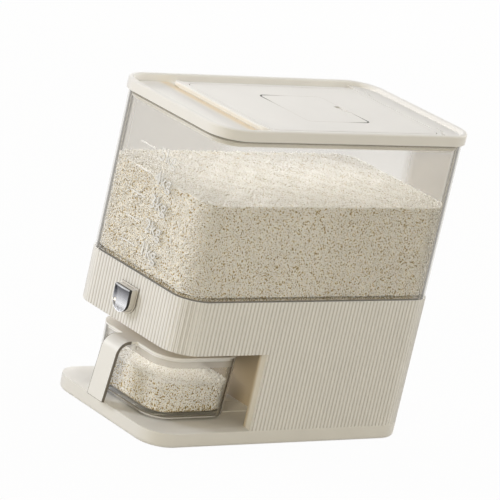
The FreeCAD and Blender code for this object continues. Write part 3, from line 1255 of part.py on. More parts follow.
def rice_in_hopper():
    """The rice that fills the funnel and the lower part of the hopper, with an uneven top."""
    body = new_body("rice_fill")
    top_plan, foot_plan = funnel_sections(S.funnel_wall)
    gap = S.rice_gap
    neck = sketch_on(body, "XY_Plane", FLANGE_TOP, "neck_plan")
    add_rounded(neck, *inside(top_plan, gap), "neck")
    throat = sketch_on(body, "XY_Plane", FUNNEL_FOOT + gap, "throat_plan")
    add_rounded(throat, *inside(foot_plan, gap), "throat")
    loft(body, (neck, throat), "funnel_rice")
    collar = sketch_on(body, "XY_Plane", GUIDE_TOP + gap, "collar_plan")
    add_rounded(collar, *inside(foot_plan, gap), "collar")
    pad(body, collar, S.outlet_collar, "collar_rice")
    foot_top = BODY_TOP + S.bin_foot + gap
    middle = sketch_on(body, "XY_Plane", FLANGE_TOP, "skirt_plan")
    add_rounded(middle, *inside(top_plan, gap), "skirt")
    pad(body, middle, foot_top - FLANGE_TOP, "skirt_rice")
    inner = inside(BIN_PLAN, S.bin_wall + gap)
    left, right, low, high, radius = inner
    lower = sketch_on(body, "XY_Plane", foot_top, "lower_plan")
    add_rounded(lower, *inner, "lower")
    upper = sketch_on(body, "XY_Plane", BODY_TOP + S.rice_level + S.rice_ripple * 2, "upper_plan")
    add_rounded(upper, left, right, low, high - S.rice_settle, radius, "upper")
    loft(body, (lower, upper), "hopper_rice")
    rice = doc.addObject("Part::Cut", "rice_in_hopper")
    rice.Label = "rice_in_hopper"
    rice.Base = body
    rice.Tool = space_above_rice()
    return rice


def rice_in_cup():
    """The rice in the measuring cup, sloping down at its back."""
    body = new_body("rice_in_cup")
    base = CUP_BASE + S.cup_floor + S.rice_gap
    inset = S.cup_wall + S.rice_gap
    loft(body, cup_sections(inset, base, COVER_BASE, S.cup_base_round, body, "rice"), "fill")
    above = sketch_on(body, "YZ_Plane", -S.cup_width / 2, "above_profile")
    top = base + S.cup_rice_depth
    back = CUP_REAR - S.cup_wall
    add_polygon(above, ((CUP_FRONT, top), (back - S.cup_rice_slope, top), (back, top - S.cup_rice_fall),
                        (CUP_REAR, top - S.cup_rice_fall), (CUP_REAR, CUP_TOP), (CUP_FRONT, CUP_TOP)), "above")
    pocket(body, above, S.cup_width, "above", along_normal=True)
    return body


SUB_PARTS = (
    base_tray, rubber_feet, base_screws, fluted_body, bay_liner, outlet_chute, shutter_guide, shutter,
    gate_screws, funnel, button_bezel, button_cap, button_face, push_rod, return_spring, hopper_seal,
    hopper, lid_frame, lid_gasket, lid_flap, flap_gasket, hinge_pins, desiccant_cover, cup, cup_cover,
    rice_in_hopper, rice_in_cup,
)


def check_document(pieces):
    """Stop with a message if any object failed or any sub-part has no valid solid."""
    for item in doc.Objects:
        if "Invalid" in item.State or "Error" in item.State:
            raise RuntimeError(f"{item.Name} failed to recompute: {item.State}")
    for piece in pieces:
        if piece.Shape.isNull() or not piece.Shape.isValid() or not piece.Shape.Solids:
            raise RuntimeError(f"{piece.Label} has no valid solid")


def main():
    """Build every sub-part, check it and write it to parts/."""
    pieces = [make() for make in SUB_PARTS]
    doc.recompute()
    check_document(pieces)
    os.makedirs("parts", exist_ok=True)
    for piece in pieces:
        piece.Shape.exportStep(f"parts/{piece.Label}.step")
        box = piece.Shape.BoundBox
        solids = len(piece.Shape.Solids)
        print(f"{piece.Label}: {solids} solid(s), {piece.Shape.Volume / 1000:.2f} cm3, "
              f"x {box.XMin:.2f} {box.XMax:.2f}, y {box.YMin:.2f} {box.YMax:.2f}, "
              f"z {box.ZMin:.2f} {box.ZMax:.2f}")


main()
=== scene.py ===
import math
from collections import namedtuple

import bpy
import numpy as np
from mathutils import Matrix, Vector


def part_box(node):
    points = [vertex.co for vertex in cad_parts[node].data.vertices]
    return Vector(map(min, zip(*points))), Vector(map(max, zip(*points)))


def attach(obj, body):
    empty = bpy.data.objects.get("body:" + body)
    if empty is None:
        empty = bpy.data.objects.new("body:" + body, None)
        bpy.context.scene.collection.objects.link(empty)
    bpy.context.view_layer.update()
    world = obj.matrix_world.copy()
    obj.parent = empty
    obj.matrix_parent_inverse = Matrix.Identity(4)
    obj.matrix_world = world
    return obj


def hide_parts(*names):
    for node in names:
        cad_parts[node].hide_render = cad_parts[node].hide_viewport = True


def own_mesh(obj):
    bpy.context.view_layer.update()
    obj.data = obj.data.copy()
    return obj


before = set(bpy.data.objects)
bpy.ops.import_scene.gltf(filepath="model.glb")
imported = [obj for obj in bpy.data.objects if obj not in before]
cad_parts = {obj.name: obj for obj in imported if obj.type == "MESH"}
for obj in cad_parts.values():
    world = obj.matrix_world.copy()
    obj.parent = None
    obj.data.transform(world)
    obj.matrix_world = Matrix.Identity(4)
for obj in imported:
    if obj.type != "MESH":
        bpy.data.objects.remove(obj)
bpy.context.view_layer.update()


def box_middle(node):
    """The middle of a node's box."""
    return [(low + high) / 2 for low, high in zip(*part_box(node))]


# Places and levels on the solids, in metres.
BODY_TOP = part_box("fluted_body")[1].z
HOPPER_WALL = 0.003
HOPPER_FRONT = -0.15575
HOPPER_MIDDLE = 0.0068
MARKS_FROM = -0.1559
CUP_MIDDLE = -0.0924
DECK_TOP = 0.327
SEAM_FLOOR = 0.3299
COVER_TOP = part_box("desiccant_cover")[1].z
COVER_MIDDLE = box_middle("desiccant_cover")[1]
COVER_CORNER = 0.006
STRAP_FRONT = -0.151
STRAP_HALF = 0.013
STRAP_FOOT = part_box("cup_cover")[0].z
PLATING_FROM = -0.1641

# The heaps of rice.
RICE_TOP = 0.2561
RIPPLE = 0.0012
RIPPLE_LENGTH = 0.044
HOPPER_RICE_CORNER = 0.0251
HOPPER_RICE_FROM = BODY_TOP + 0.0035
CUP_RICE_CORNER = 0.0232
CUP_RICE_BACK = -0.0414
CUP_RICE_DRAFT = 0.0018
CUP_RICE_FOOT = 0.003
CUP_FALL_FROM, CUP_FALL_TO, CUP_FALL = -0.06925, -0.04125, 0.004
SURFACE_GAP = 0.0005

# A grain of rice, the spread of the grains' sizes, and how they lie in the skin on a heap.
GRAIN_LENGTH = 0.0042
GRAIN_RADIUS = 0.00092
GRAIN_LENGTHS = (0.8, 1.15)
GRAIN_RADII = (0.85, 1.15)
GRAIN_SIDES = 5
GRAIN_RINGS = ((-0.42, 0.95), (0.48, 0.86))
GRAIN_TILT = 0.32
GRAIN_PITCH = GRAIN_LENGTH * 0.49
ROW_PITCH = GRAIN_PITCH * 0.9
JITTER = 0.4
GRAIN_INSET = GRAIN_RADIUS * 1.1
SKIN_DEPTH = GRAIN_RADIUS * 1.5

# The level numbers, beside the raised marks.
MARK_LEVELS = (0.1815, 0.2058, 0.2312, 0.2558, 0.2803)
NUMBER_SIZE = 0.0195
NUMBER_GROWTH = 0.0002
NUMBER_DEPTH = 0.00025
NUMBER_X = 0.0125
NUMBER_Y = HOPPER_FRONT - 0.0001
NUMBER_DROP = 0.001

# The shadow line around the desiccant cover.
SEAM_POINTS = 240
SEAM_OUT = 0.00015
SEAM_HALF = 0.00035
SEAM_WIDER = 0.0006
SEAM_DARKENS = 0.0015

# The camera, at the photograph's viewing angle.
AZIMUTH, ELEVATION, ROLL = 49.06532, 15.48218, 12.904
CAMERA_AT = (2.6170, -2.28435, 1.1375)
LENS = 253.98


def new_object(name, data):
    obj = bpy.data.objects.new(name, data)
    bpy.context.scene.collection.objects.link(obj)
    return obj


# ---------------------------------------------------------------- nodes

WHITE = (1.0, 1.0, 1.0)


def shade(colour, change):
    """A colour made darker or lighter, and no lighter than white."""
    return tuple(min(1.0, channel * change) for channel in colour)


class Nodes:
    """The node tree of a material or a world, with short calls for adding and linking nodes.

    Wherever a call takes a number or a colour, it takes another node's output as well.
    """

    def __init__(self, owner, output="ShaderNodeOutputMaterial"):
        owner.use_nodes = True
        self.owner = owner
        self.tree = owner.node_tree
        self.tree.nodes.clear()
        self.out = self.add(output)

    def put(self, value, socket):
        """Link an output to a socket, or set a plain value on it."""
        if isinstance(value, bpy.types.NodeSocket):
            self.tree.links.new(value, socket)
        elif socket.type == "RGBA":
            socket.default_value = (*value, 1.0)
        else:
            socket.default_value = value

    def add(self, kind, inputs=None, **settings):
        """A new node with its settings, and with its inputs by name or number."""
        node = self.tree.nodes.new(kind)
        for key, value in settings.items():
            setattr(node, key, value)
        for key, value in (inputs or {}).items():
            self.put(value, node.inputs[key])
        return node

    def coords(self):
        return self.add("ShaderNodeTexCoord").outputs["Object"]

    def geometry(self, kind):
        return self.add("ShaderNodeNewGeometry").outputs[kind]

    def light_path(self, kind):
        return self.add("ShaderNodeLightPath").outputs[kind]

    def split(self, vector):
        """The x, y and z of a vector."""
        return tuple(self.add("ShaderNodeSeparateXYZ", {"Vector": vector}).outputs)

    def face_normal(self):
        """The x, y and z of the face's own normal."""
        return self.split(self.geometry("True Normal"))

    def openness(self, distance, samples):
        """How open a place is to the rest of its own piece, within a distance."""
        return self.add("ShaderNodeAmbientOcclusion", {"Distance": distance},
                        samples=samples, only_local=True).outputs["AO"]

    def noise(self, vector, scale, detail=2.0):
        return self.add("ShaderNodeTexNoise", {
            "Vector": vector, "Scale": scale, "Detail": detail,
        }).outputs["Fac"]

    def ramp(self, factor, stops):
        """A colour by a factor from 0 to 1, between stops of place and colour."""
        node = self.add("ShaderNodeValToRGB", {"Fac": factor})
        elements = node.color_ramp.elements
        while len(elements) < len(stops):
            elements.new(0.5)
        for element, (position, colour) in zip(elements, stops):
            element.position = position
            element.color = (*colour, 1.0)
        return node.outputs["Color"]

    def number_ramp(self, factor, stops):
        """A number by a factor from 0 to 1, between stops of place and number."""
        return self.ramp(factor, [(place, (number,) * 3) for place, number in stops])

    def mottle(self, at, scale, detail, dark, light):
        """A soft speckle between two colours."""
        return self.ramp(self.noise(at, scale, detail), ((0.3, dark), (0.7, light)))

    def spread(self, factor, low, high, from_low=0.3, from_high=0.7):
        """A number carried over from one range to another, and held at its ends."""
        return self.add("ShaderNodeMapRange", {
            "Value": factor, "From Min": from_low, "From Max": from_high, "To Min": low, "To Max": high,
        }).outputs["Result"]

    def bump(self, height, strength, distance):
        return self.add("ShaderNodeBump", {
            "Height": height, "Strength": strength, "Distance": distance,
        }).outputs["Normal"]

    def math(self, operation, *values):
        return self.add("ShaderNodeMath", dict(enumerate(values)), operation=operation).outputs["Value"]

    def is_near(self, value, target, within):
        """1 where a number lies within a distance of its target, and 0 elsewhere."""
        return self.math("LESS_THAN", self.math("ABSOLUTE", self.math("SUBTRACT", value, target)), within)

    def choose(self, factor, low, high):
        """One number or another, by a factor from 0 to 1."""
        return self.add("ShaderNodeMix", {0: factor, 2: low, 3: high}, data_type="FLOAT").outputs[0]

    def mix_colour(self, factor, low, high, blend_type="MIX"):
        """One colour or another, by a factor from 0 to 1."""
        return self.add("ShaderNodeMix", {0: factor, 6: low, 7: high},
                        data_type="RGBA", blend_type=blend_type).outputs[2]

    def multiply(self, colour, other):
        return self.mix_colour(1.0, colour, other, "MULTIPLY")

    def blend(self, factor, low, high):
        """One shader or another, by a factor from 0 to 1."""
        return self.add("ShaderNodeMixShader", {0: factor, 1: low, 2: high}).outputs["Shader"]

    def transparent(self, colour):
        return self.add("ShaderNodeBsdfTransparent", {"Color": colour}).outputs["BSDF"]

    def principled(self, **inputs):
        """A principled shader, whose inputs are named with underscores."""
        return self.add("ShaderNodeBsdfPrincipled", {
            key.replace("_", " "): value for key, value in inputs.items()
        }).outputs["BSDF"]

    def finish(self, shader):
        self.put(shader, self.out.inputs["Surface"])
        return self.owner


def material(name):
    return Nodes(bpy.data.materials.new(name))


# ---------------------------------------------------------------- plastics

CAST_SCALE = 22.0
GLOSS_SCALE = 90.0
MOULD_SCALE = 1700.0
MOULD_DEPTH = 0.0002


def cast(m, at, colour, dark, light):
    """The hardly visible mottle of moulded plastic."""
    return m.mottle(at, CAST_SCALE, 3.0, shade(colour, dark), shade(colour, light))


def plastic(m, at, colour, roughness, grain=0.05):
    """A material of moulded plastic: uneven gloss and a fine moulded texture on a colour."""
    return m.finish(m.principled(
        Base_Color=colour,
        Roughness=m.spread(m.noise(at, GLOSS_SCALE), roughness - 0.04, roughness + 0.05),
        Normal=m.bump(m.noise(at, MOULD_SCALE, 1.0), grain, MOULD_DEPTH)))


def moulded(name, colour, roughness, grain=0.05):
    m = material(name)
    at = m.coords()
    return plastic(m, at, cast(m, at, colour, 0.975, 1.015), roughness, grain)


def lining(name, inside, jambs, near, far):
    """A lining with a darker colour inside, which is painted shade, and another on its jambs, between two
    distances from the middle.
    """
    m = material(name)
    at = m.coords()
    jamb = m.spread(m.math("ABSOLUTE", m.split(at)[0]), 0.0, 1.0, near, far)
    tone = m.multiply(m.mix_colour(jamb, inside, jambs), cast(m, at, WHITE, 0.96, 1.0))
    return plastic(m, at, tone, 0.5)


# Where on the deck before the flap's lip the warm painted shadow lies, and how strong it is there.
LIP_SHADOW_BAND = (-0.113, -0.087)
LIP_SHADOW_STRENGTH = ((0.05, 0.0), (0.25, 0.3), (0.38, 0.9), (0.5, 1.0), (0.6, 1.0), (0.9, 0.0))


def lid_plastic(name, colour, roughness):
    """The lid's plastic: painted shade on the floor of the seam, a deck painted brighter as painted light,
    and a warm painted shadow on the deck before the flap's lip.
    """
    m = material(name)
    at = m.coords()
    _, y, z = m.split(at)
    upward = m.math("GREATER_THAN", m.face_normal()[2], 0.7)
    on_deck = m.math("MULTIPLY", m.is_near(z, DECK_TOP, 0.0004), upward)
    seam_shade = m.math("MULTIPLY", m.is_near(z, SEAM_FLOOR, 0.0003), upward)
    lip_shadow = m.number_ramp(m.spread(y, 0.0, 1.0, *LIP_SHADOW_BAND), LIP_SHADOW_STRENGTH)
    # Painted light: upward faces at the deck's level are painted brighter.
    tone = m.mix_colour(on_deck, cast(m, at, colour, 0.985, 1.01), (0.97, 0.955, 0.925))
    # A warm painted shadow on the deck before the flap's lip.
    tone = m.mix_colour(m.math("MULTIPLY", on_deck, lip_shadow), tone, (0.93, 0.82, 0.65))
    # Painted shade on the floor of the seam around the flap.
    return plastic(m, at, m.mix_colour(seam_shade, tone, (0.22, 0.2, 0.16)), roughness)


def strap_shaded(name, colour, roughness):
    """The cup cover's plastic, with a thin dark line of painted shade along the strap's flanks and edges and
    a painted contact shadow at its foot.
    """
    m = material(name)
    at = m.coords()
    x, y, z = m.split(at)
    forward = m.math("LESS_THAN", y, STRAP_FRONT)
    flank = m.math("GREATER_THAN", m.math("ABSOLUTE", m.face_normal()[0]), 0.8)
    rim = m.math("GREATER_THAN", m.math("ABSOLUTE", x), STRAP_HALF - 0.0005)
    foot = m.math("LESS_THAN", z, STRAP_FOOT + 0.0007)
    # Painted shade on the strap's flanks and edges, and a painted contact shadow along its foot.
    line = m.math("MULTIPLY", forward, m.math("MAXIMUM", flank, m.math("MAXIMUM", rim, foot)))
    tone = m.mix_colour(line, cast(m, at, colour, 0.98, 1.01), (0.2, 0.18, 0.15))
    return plastic(m, at, tone, roughness)


# Painted shade: darker in the grooves by how closed in they are, and on the ribs' flanks by their slope.
GROOVE_SHADE = ((0.35, (0.5, 0.47, 0.42)), (0.75, (0.93, 0.92, 0.9)), (0.95, WHITE))
RIB_FLANK_SHADE = (
    (0.0, WHITE), (0.12, WHITE), (0.3, (0.9, 0.895, 0.885)), (0.47, (0.7, 0.685, 0.655)),
    (0.55, (0.76, 0.745, 0.715)), (0.64, WHITE),
)


def ribbed(name, colour, roughness):
    """Plastic with painted shade in its grooves and on the flanks of its ribs, which look darker than the
    ribs.
    """
    m = material(name)
    at = m.coords()
    nx, ny, _ = m.split(m.geometry("Normal"))
    slope = m.math("MINIMUM", m.math("ABSOLUTE", nx), m.math("ABSOLUTE", ny))
    tone = m.multiply(cast(m, at, colour, 0.98, 1.015), m.ramp(m.openness(0.0035, 6), GROOVE_SHADE))
    return plastic(m, at, m.multiply(tone, m.ramp(slope, RIB_FLANK_SHADE)), roughness)


# ---------------------------------------------------------------- metals and pearl

# The painted reflection on the button's face, between two heights: bright below, dark above, and a bright
# line at the top.
FACE_HEIGHTS = (0.112, 0.1412)
FACE_REFLECTION = (
    (0.0, (0.98, 0.98, 0.99)), (0.35, (0.9, 0.9, 0.92)), (0.62, (0.4, 0.4, 0.42)), (0.9, (0.1, 0.1, 0.11)),
    (0.95, (0.9, 0.9, 0.91)),
)


def metal(name, colour, roughness, stretch, depth):
    """Metal with fine brushed lines."""
    m = material(name)
    at = m.add("ShaderNodeMapping", {"Vector": m.coords(), "Scale": stretch}).outputs["Vector"]
    return m.finish(m.principled(
        Metallic=1.0,
        Base_Color=m.mottle(at, 300.0, 2.0, shade(colour, 0.95), colour),
        Roughness=m.spread(m.noise(at, 500.0), roughness * 0.8, roughness * 1.3),
        Normal=m.bump(m.noise(at, 900.0, 1.0), depth, 0.0001)))


def reflection_painted_metal(name):
    """Polished metal with a painted reflection that runs up the button's face, as one bright face mirrors a
    dark room.
    """
    m = material(name)
    at = m.coords()
    level = m.spread(m.split(at)[2], 0.0, 1.0, *FACE_HEIGHTS)
    ripple = m.math("MULTIPLY_ADD", m.noise(at, 160.0, 1.0), 0.06, level)
    return m.finish(m.principled(
        Metallic=1.0,
        Base_Color=m.ramp(ripple, FACE_REFLECTION),
        Roughness=m.spread(m.noise(at, 400.0), 0.2, 0.3)))


def pearl(m, at, part, tone, **inputs):
    """A material of pearly moulding, with another colour on a part of it."""
    pearly = m.mottle(at, 60.0, 2.0, (0.66, 0.63, 0.58), (0.76, 0.73, 0.68))
    return m.finish(m.principled(
        Base_Color=m.mix_colour(part, pearly, tone),
        Roughness=m.spread(m.noise(at, 400.0), 0.18, 0.26),
        **inputs))


def faced_pearl(name):
    """Pearly moulding whose front is plated and carries the same painted reflection as the face in it, with
    painted shade on its dark outer flanks.
    """
    m = material(name)
    at = m.coords()
    x, y, z = m.split(at)
    nx, ny, _ = m.face_normal()
    plated = m.math("LESS_THAN", y, PLATING_FROM)
    outwards = m.math("GREATER_THAN", m.math("MULTIPLY", x, nx), -0.0001)
    flank = m.math("MULTIPLY", outwards, m.math("GREATER_THAN", ny, -0.8))
    # The face's painted reflection on the plated front, and painted shade on the outer flanks.
    bright = m.ramp(m.spread(z, 0.0, 1.0, *FACE_HEIGHTS), FACE_REFLECTION)
    return pearl(m, at, plated, m.mix_colour(flank, bright, (0.06, 0.06, 0.06)), Metallic=plated)


def edged_pearl(name):
    """Pearly plate with painted shade on its side faces, as dark as the gap around it."""
    m = material(name)
    # Painted shade on the side faces.
    side = m.math("GREATER_THAN", m.face_normal()[1], -0.7)
    return pearl(m, m.coords(), side, (0.2, 0.185, 0.16))


# ---------------------------------------------------------------- clear plastic

# The taupe of the haze: partly the plastic's own haze and partly painted shade.
HAZE_AND_SHADE = (0.42, 0.375, 0.3)
PAINTED_DARK_LINE = (0.1, 0.088, 0.066)
# Stripes are stops of how far the view grazes the wall, haze and colour: painted highlights and dark lines.
CORNER_PAINTED_STRIPES = (
    (0.38, 0.0, (0.5, 0.47, 0.4)), (0.46, 0.6, (0.5, 0.47, 0.4)), (0.56, 0.85, (0.1, 0.09, 0.07)),
    (0.66, 0.85, (0.14, 0.125, 0.1)), (0.72, 0.8, (0.93, 0.92, 0.91)), (0.88, 0.85, (0.9, 0.89, 0.88)),
    (0.93, 0.95, (0.16, 0.09, 0.04)),
)
FLAT_PAINTED_STRIPES = (
    (0.76, 0.0, HAZE_AND_SHADE), (0.84, 0.5, (0.8, 0.78, 0.74)), (0.93, 0.85, (0.5, 0.44, 0.36)),
    (1.0, 0.9, (0.3, 0.25, 0.2)),
)
# Bands are stops of height, haze and colour: painted dark lines, painted shadow and painted highlights. The
# hopper's: a painted dark line at its foot and a painted shadow under the lid.
HOPPER_PAINTED_BANDS = (
    (0.1543, 0.95, PAINTED_DARK_LINE), (0.1570, 0.95, PAINTED_DARK_LINE), (0.1580, 0.0, HAZE_AND_SHADE),
    (0.3205, 0.0, HAZE_AND_SHADE), (0.3216, 0.9, (0.2, 0.17, 0.13)), (0.3235, 0.9, PAINTED_DARK_LINE),
)
# The cup's: painted highlights and dark lines in its thick base, a painted grey band, and a painted highlight
# at its rim.
CUP_PAINTED_BANDS = (
    (0.0182, 0.9, PAINTED_DARK_LINE), (0.0189, 0.9, PAINTED_DARK_LINE), (0.0191, 0.85, (0.92, 0.91, 0.9)),
    (0.0210, 0.85, (0.9, 0.89, 0.88)), (0.0213, 0.9, PAINTED_DARK_LINE), (0.0226, 0.85, (0.16, 0.14, 0.11)),
    (0.0230, 0.0, HAZE_AND_SHADE), (0.0740, 0.0, HAZE_AND_SHADE), (0.0746, 0.6, (0.66, 0.65, 0.63)),
    (0.0812, 0.6, (0.6, 0.59, 0.57)), (0.0818, 0.9, (0.95, 0.95, 0.94)), (0.0834, 0.9, (0.95, 0.95, 0.94)),
)
INWARD = -0.001
DIM_FADE = (-0.012, 0.006)
UPRIGHT = 0.3
FLAT_NORMAL = 0.997
MARK_HAZE = 0.8
NOWHERE = -1.0


def banded(m, factor, stops):
    """The haze share and the colour of painted bands or stripes by a factor, between stops of place, haze
    share and colour.
    """
    return (m.number_ramp(factor, [(place, haze) for place, haze, _ in stops]),
            m.ramp(factor, [(place, colour) for place, _, colour in stops]))


def clear(name, middle_y, hazes, bands, raised_y=NOWHERE):
    """Clear moulded plastic: nearly clear outer faces, hazier inner faces of the far walls, whose taupe is
    partly painted shade and whose dimmer half is painted reflection, and striped corners, with painted
    highlights and dark lines where the view grazes.

    hazes are the share of haze on outer faces, on the clearer and dimmer half of the inner faces, and what
    the dimmer half gains on a wall across the depth. bands are stops of height, haze and colour up the wall,
    of painted dark lines, painted shadow and painted highlights. What stands before raised_y is frosted, as
    the level marks are, with painted shade on its flanks.
    """
    m = material(name)
    at = m.coords()
    x, y, z = m.split(at)
    nx, ny, nz = m.face_normal()
    sideways, endwise = m.math("ABSOLUTE", nx), m.math("ABSOLUTE", ny)
    from_middle = m.math("SUBTRACT", y, middle_y)

    # Haze on the walls, by which side of them is seen and on which half of the inner faces; the dimmer half
    # is painted reflection of the room.
    outer, inner_low, inner_high, inner_end = hazes
    outward = m.math("MULTIPLY_ADD", nx, x, m.math("MULTIPLY", ny, from_middle))
    is_inner = m.math("LESS_THAN", outward, INWARD)
    turn = m.math("MULTIPLY_ADD", nx, from_middle, m.math("MULTIPLY", ny, x))
    dim_half = m.spread(m.math("MULTIPLY_ADD", m.noise(at, 30.0, 1.0), 0.006, turn), 1.0, 0.0, *DIM_FADE)
    dim_haze = m.math("MULTIPLY_ADD", endwise, inner_end, inner_high)
    wall_haze = m.choose(is_inner, outer, m.choose(dim_half, inner_low, dim_haze))

    # Painted bands up the wall.
    low, high = bands[0][0], bands[-1][0]
    stops = [((level - low) / (high - low), haze, colour) for level, haze, colour in bands]
    painted_band_share, painted_band_tone = banded(m, m.spread(z, 0.0, 1.0, low, high), stops)

    # Painted highlights and dark lines where the view grazes the wall, which differ at the rounded corners.
    grazing = m.add("ShaderNodeLayerWeight", {"Blend": 0.5}).outputs["Facing"]
    upright = m.math("LESS_THAN", m.math("ABSOLUTE", nz), UPRIGHT)
    turned = m.math("LESS_THAN", m.math("MAXIMUM", endwise, sideways), FLAT_NORMAL)
    rounded = m.math("MULTIPLY", upright, turned)
    flat_paint_share, flat_paint_tone = banded(m, grazing, FLAT_PAINTED_STRIPES)
    corner_paint_share, corner_paint_tone = banded(m, grazing, CORNER_PAINTED_STRIPES)
    edge_paint_share = m.choose(rounded, flat_paint_share, corner_paint_share)
    edge_paint_tone = m.mix_colour(rounded, flat_paint_tone, corner_paint_tone)

    # The raised level marks, with frosted fronts and painted shade on their flanks.
    raised = m.math("LESS_THAN", y, raised_y)
    frosted = m.mix_colour(m.math("LESS_THAN", endwise, 0.7), (0.95, 0.945, 0.93), (0.25, 0.22, 0.18))

    haze = m.math("MAXIMUM", m.math("MAXIMUM", wall_haze, painted_band_share),
                  m.math("MAXIMUM", edge_paint_share, m.math("MULTIPLY", raised, MARK_HAZE)))
    tone = m.mix_colour(edge_paint_share, m.mix_colour(painted_band_share, HAZE_AND_SHADE, painted_band_tone), edge_paint_tone)
    tone = m.multiply(m.mix_colour(raised, tone, frosted), m.mottle(at, 14.0, 2.0, shade(WHITE, 0.94), WHITE))
    wall = m.blend(haze, m.transparent((0.985, 0.98, 0.97)),
                   m.principled(Base_Color=tone, Roughness=0.15, IOR=1.49))
    gloss = m.add("ShaderNodeBsdfGlossy", {"Color": WHITE, "Roughness": 0.06}).outputs["BSDF"]
    mirror = m.math("MULTIPLY_ADD", m.math("POWER", grazing, 5.0), 0.3, 0.04)
    passed = m.math("MAXIMUM", m.light_path("Is Shadow Ray"), m.geometry("Backfacing"))
    return m.finish(m.blend(passed, m.blend(mirror, wall, gloss), m.transparent(WHITE)))


def embossed(name):
    """Raised figures on clear plastic: a see-through bright face, with painted shade on its darker flanks."""
    m = material(name)
    # Painted shade on the flanks.
    flank = m.math("GREATER_THAN", m.face_normal()[1], -0.7)
    speckle = m.mottle(m.coords(), 300.0, 1.0, (0.92, 0.92, 0.91), (0.98, 0.98, 0.97))
    figure = m.principled(Base_Color=m.mix_colour(flank, speckle, (0.38, 0.35, 0.29)), Roughness=0.3)
    return m.finish(m.blend(m.choose(flank, 0.72, 0.5), m.transparent(WHITE), figure))


# ---------------------------------------------------------------- rice and shadow

def rice_tone(name, colour):
    """One tone of rice: a mottled, polished grain, with golden brown painted shade where grains close in on
    each other.
    """
    m = material(name)
    grain = m.mottle(m.coords(), 420.0, 2.0, shade(colour, 0.93), shade(colour, 1.02))
    # Painted shade where the grain is closed in.
    unshaded = m.number_ramp(m.openness(0.0016, 4), ((0.22, 0.0), (0.55, 1.0)))
    return m.finish(m.principled(Base_Color=m.mix_colour(unshaded, (0.38, 0.27, 0.08), grain), Roughness=0.32))


def rice_bed(name):
    """Rice seen between the grains of the skin: pale grains with golden gaps, whose dark brown is painted
    shade.
    """
    m = material(name)
    # Painted shade: the dark brown of the gaps.
    tones = ((0.41, (0.26, 0.17, 0.04)), (0.48, (0.66, 0.5, 0.17)), (0.53, (1.0, 0.98, 0.93)))
    return m.finish(m.principled(Base_Color=m.ramp(m.noise(m.coords(), 680.0, 1.0), tones), Roughness=0.6))


def seam_shadow(name):
    """A painted shadow line around the desiccant cover, dark at two opposite corners of it and faint
    elsewhere.
    """
    m = material(name)
    at = m.coords()
    x, y, _ = m.split(at)
    diagonal = m.math("MULTIPLY", x, m.math("SUBTRACT", y, COVER_MIDDLE))
    uneven = m.math("MULTIPLY_ADD", m.noise(at, 60.0, 1.0), 0.0004, diagonal)
    tones = ((0.0, (0.72, 0.7, 0.66)), (0.35, (0.5, 0.47, 0.42)), (0.75, (0.22, 0.2, 0.17)),
             (1.0, (0.05, 0.045, 0.04)))
    tone = m.ramp(m.spread(uneven, 0.0, 1.0, 0.0, 0.0017), tones)
    return m.finish(m.principled(Base_Color=tone, Roughness=0.7))


# ---------------------------------------------------------------- materials of the nodes

MATERIALS = {
    "cream": moulded("cream_plastic", (0.86, 0.845, 0.81), 0.5),
    "lid": lid_plastic("lid_plastic", (0.9, 0.888, 0.865), 0.62),
    "ribbed": ribbed("ribbed_cream", (0.91, 0.9, 0.88), 0.42),
    "cover": strap_shaded("cover_plastic", (0.9, 0.89, 0.865), 0.4),
    # The bay's dark tan inside colour is painted shade.
    "bay": lining("bay_plastic_painted_shade", (0.6, 0.5, 0.36), (0.88, 0.85, 0.79), 0.079, 0.083),
    "white": moulded("white_plastic", (0.88, 0.87, 0.84), 0.4),
    "chrome": reflection_painted_metal("bright_metal"),
    "plate": edged_pearl("bezel_pearl"),
    "button": faced_pearl("button_pearl"),
    "steel": metal("plated_steel", (0.6, 0.6, 0.61), 0.3, (1.0, 1.0, 8.0), 0.15),
    "silicone": moulded("silicone", (0.78, 0.77, 0.74), 0.6, 0.1),
    "rubber": moulded("foot_rubber", (0.16, 0.155, 0.15), 0.75, 0.2),
    "clear_wall": clear("clear_wall", HOPPER_MIDDLE, (0.02, 0.33, 0.5, 0.2), HOPPER_PAINTED_BANDS, MARKS_FROM),
    "clear_cup": clear("clear_cup", CUP_MIDDLE, (0.01, 0.03, 0.08, 0.04), CUP_PAINTED_BANDS),
    "mark": embossed("frosted_mark"),
    "seam": seam_shadow("seam_shadow"),
    "rice_gaps": rice_bed("rice_gaps"),
}
RICE_TONES = (
    rice_tone("rice_white", (1.0, 0.99, 0.97)),
    rice_tone("rice_cream", (0.98, 0.96, 0.9)),
    rice_tone("rice_gold", (0.66, 0.49, 0.16)),
)
RICE_SHARES = (0.7, 0.18, 0.12)

NODE_MATERIALS = {
    "base_tray": "cream", "rubber_feet": "rubber", "base_screws": "steel", "fluted_body": "ribbed",
    "bay_liner": "bay", "outlet_chute": "white", "shutter_guide": "white", "shutter": "white",
    "gate_screws": "steel", "funnel": "white", "button_bezel": "plate", "button_cap": "button",
    "button_face": "chrome", "push_rod": "white", "return_spring": "steel", "hopper_seal": "silicone",
    "hopper": "clear_wall", "lid_frame": "lid", "lid_gasket": "silicone", "lid_flap": "lid",
    "flap_gasket": "silicone", "hinge_pins": "steel", "desiccant_cover": "lid", "cup": "clear_cup",
    "cup_cover": "cover",
}


def dress(obj, *materials):
    obj.data.materials.clear()
    for each in materials:
        obj.data.materials.append(each)


def dress_nodes():
    for node, key in NODE_MATERIALS.items():
        dress(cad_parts[node], MATERIALS[key])


# ---------------------------------------------------------------- rounded walls

Plan = namedtuple("Plan", "half_x low_y high_y radius")


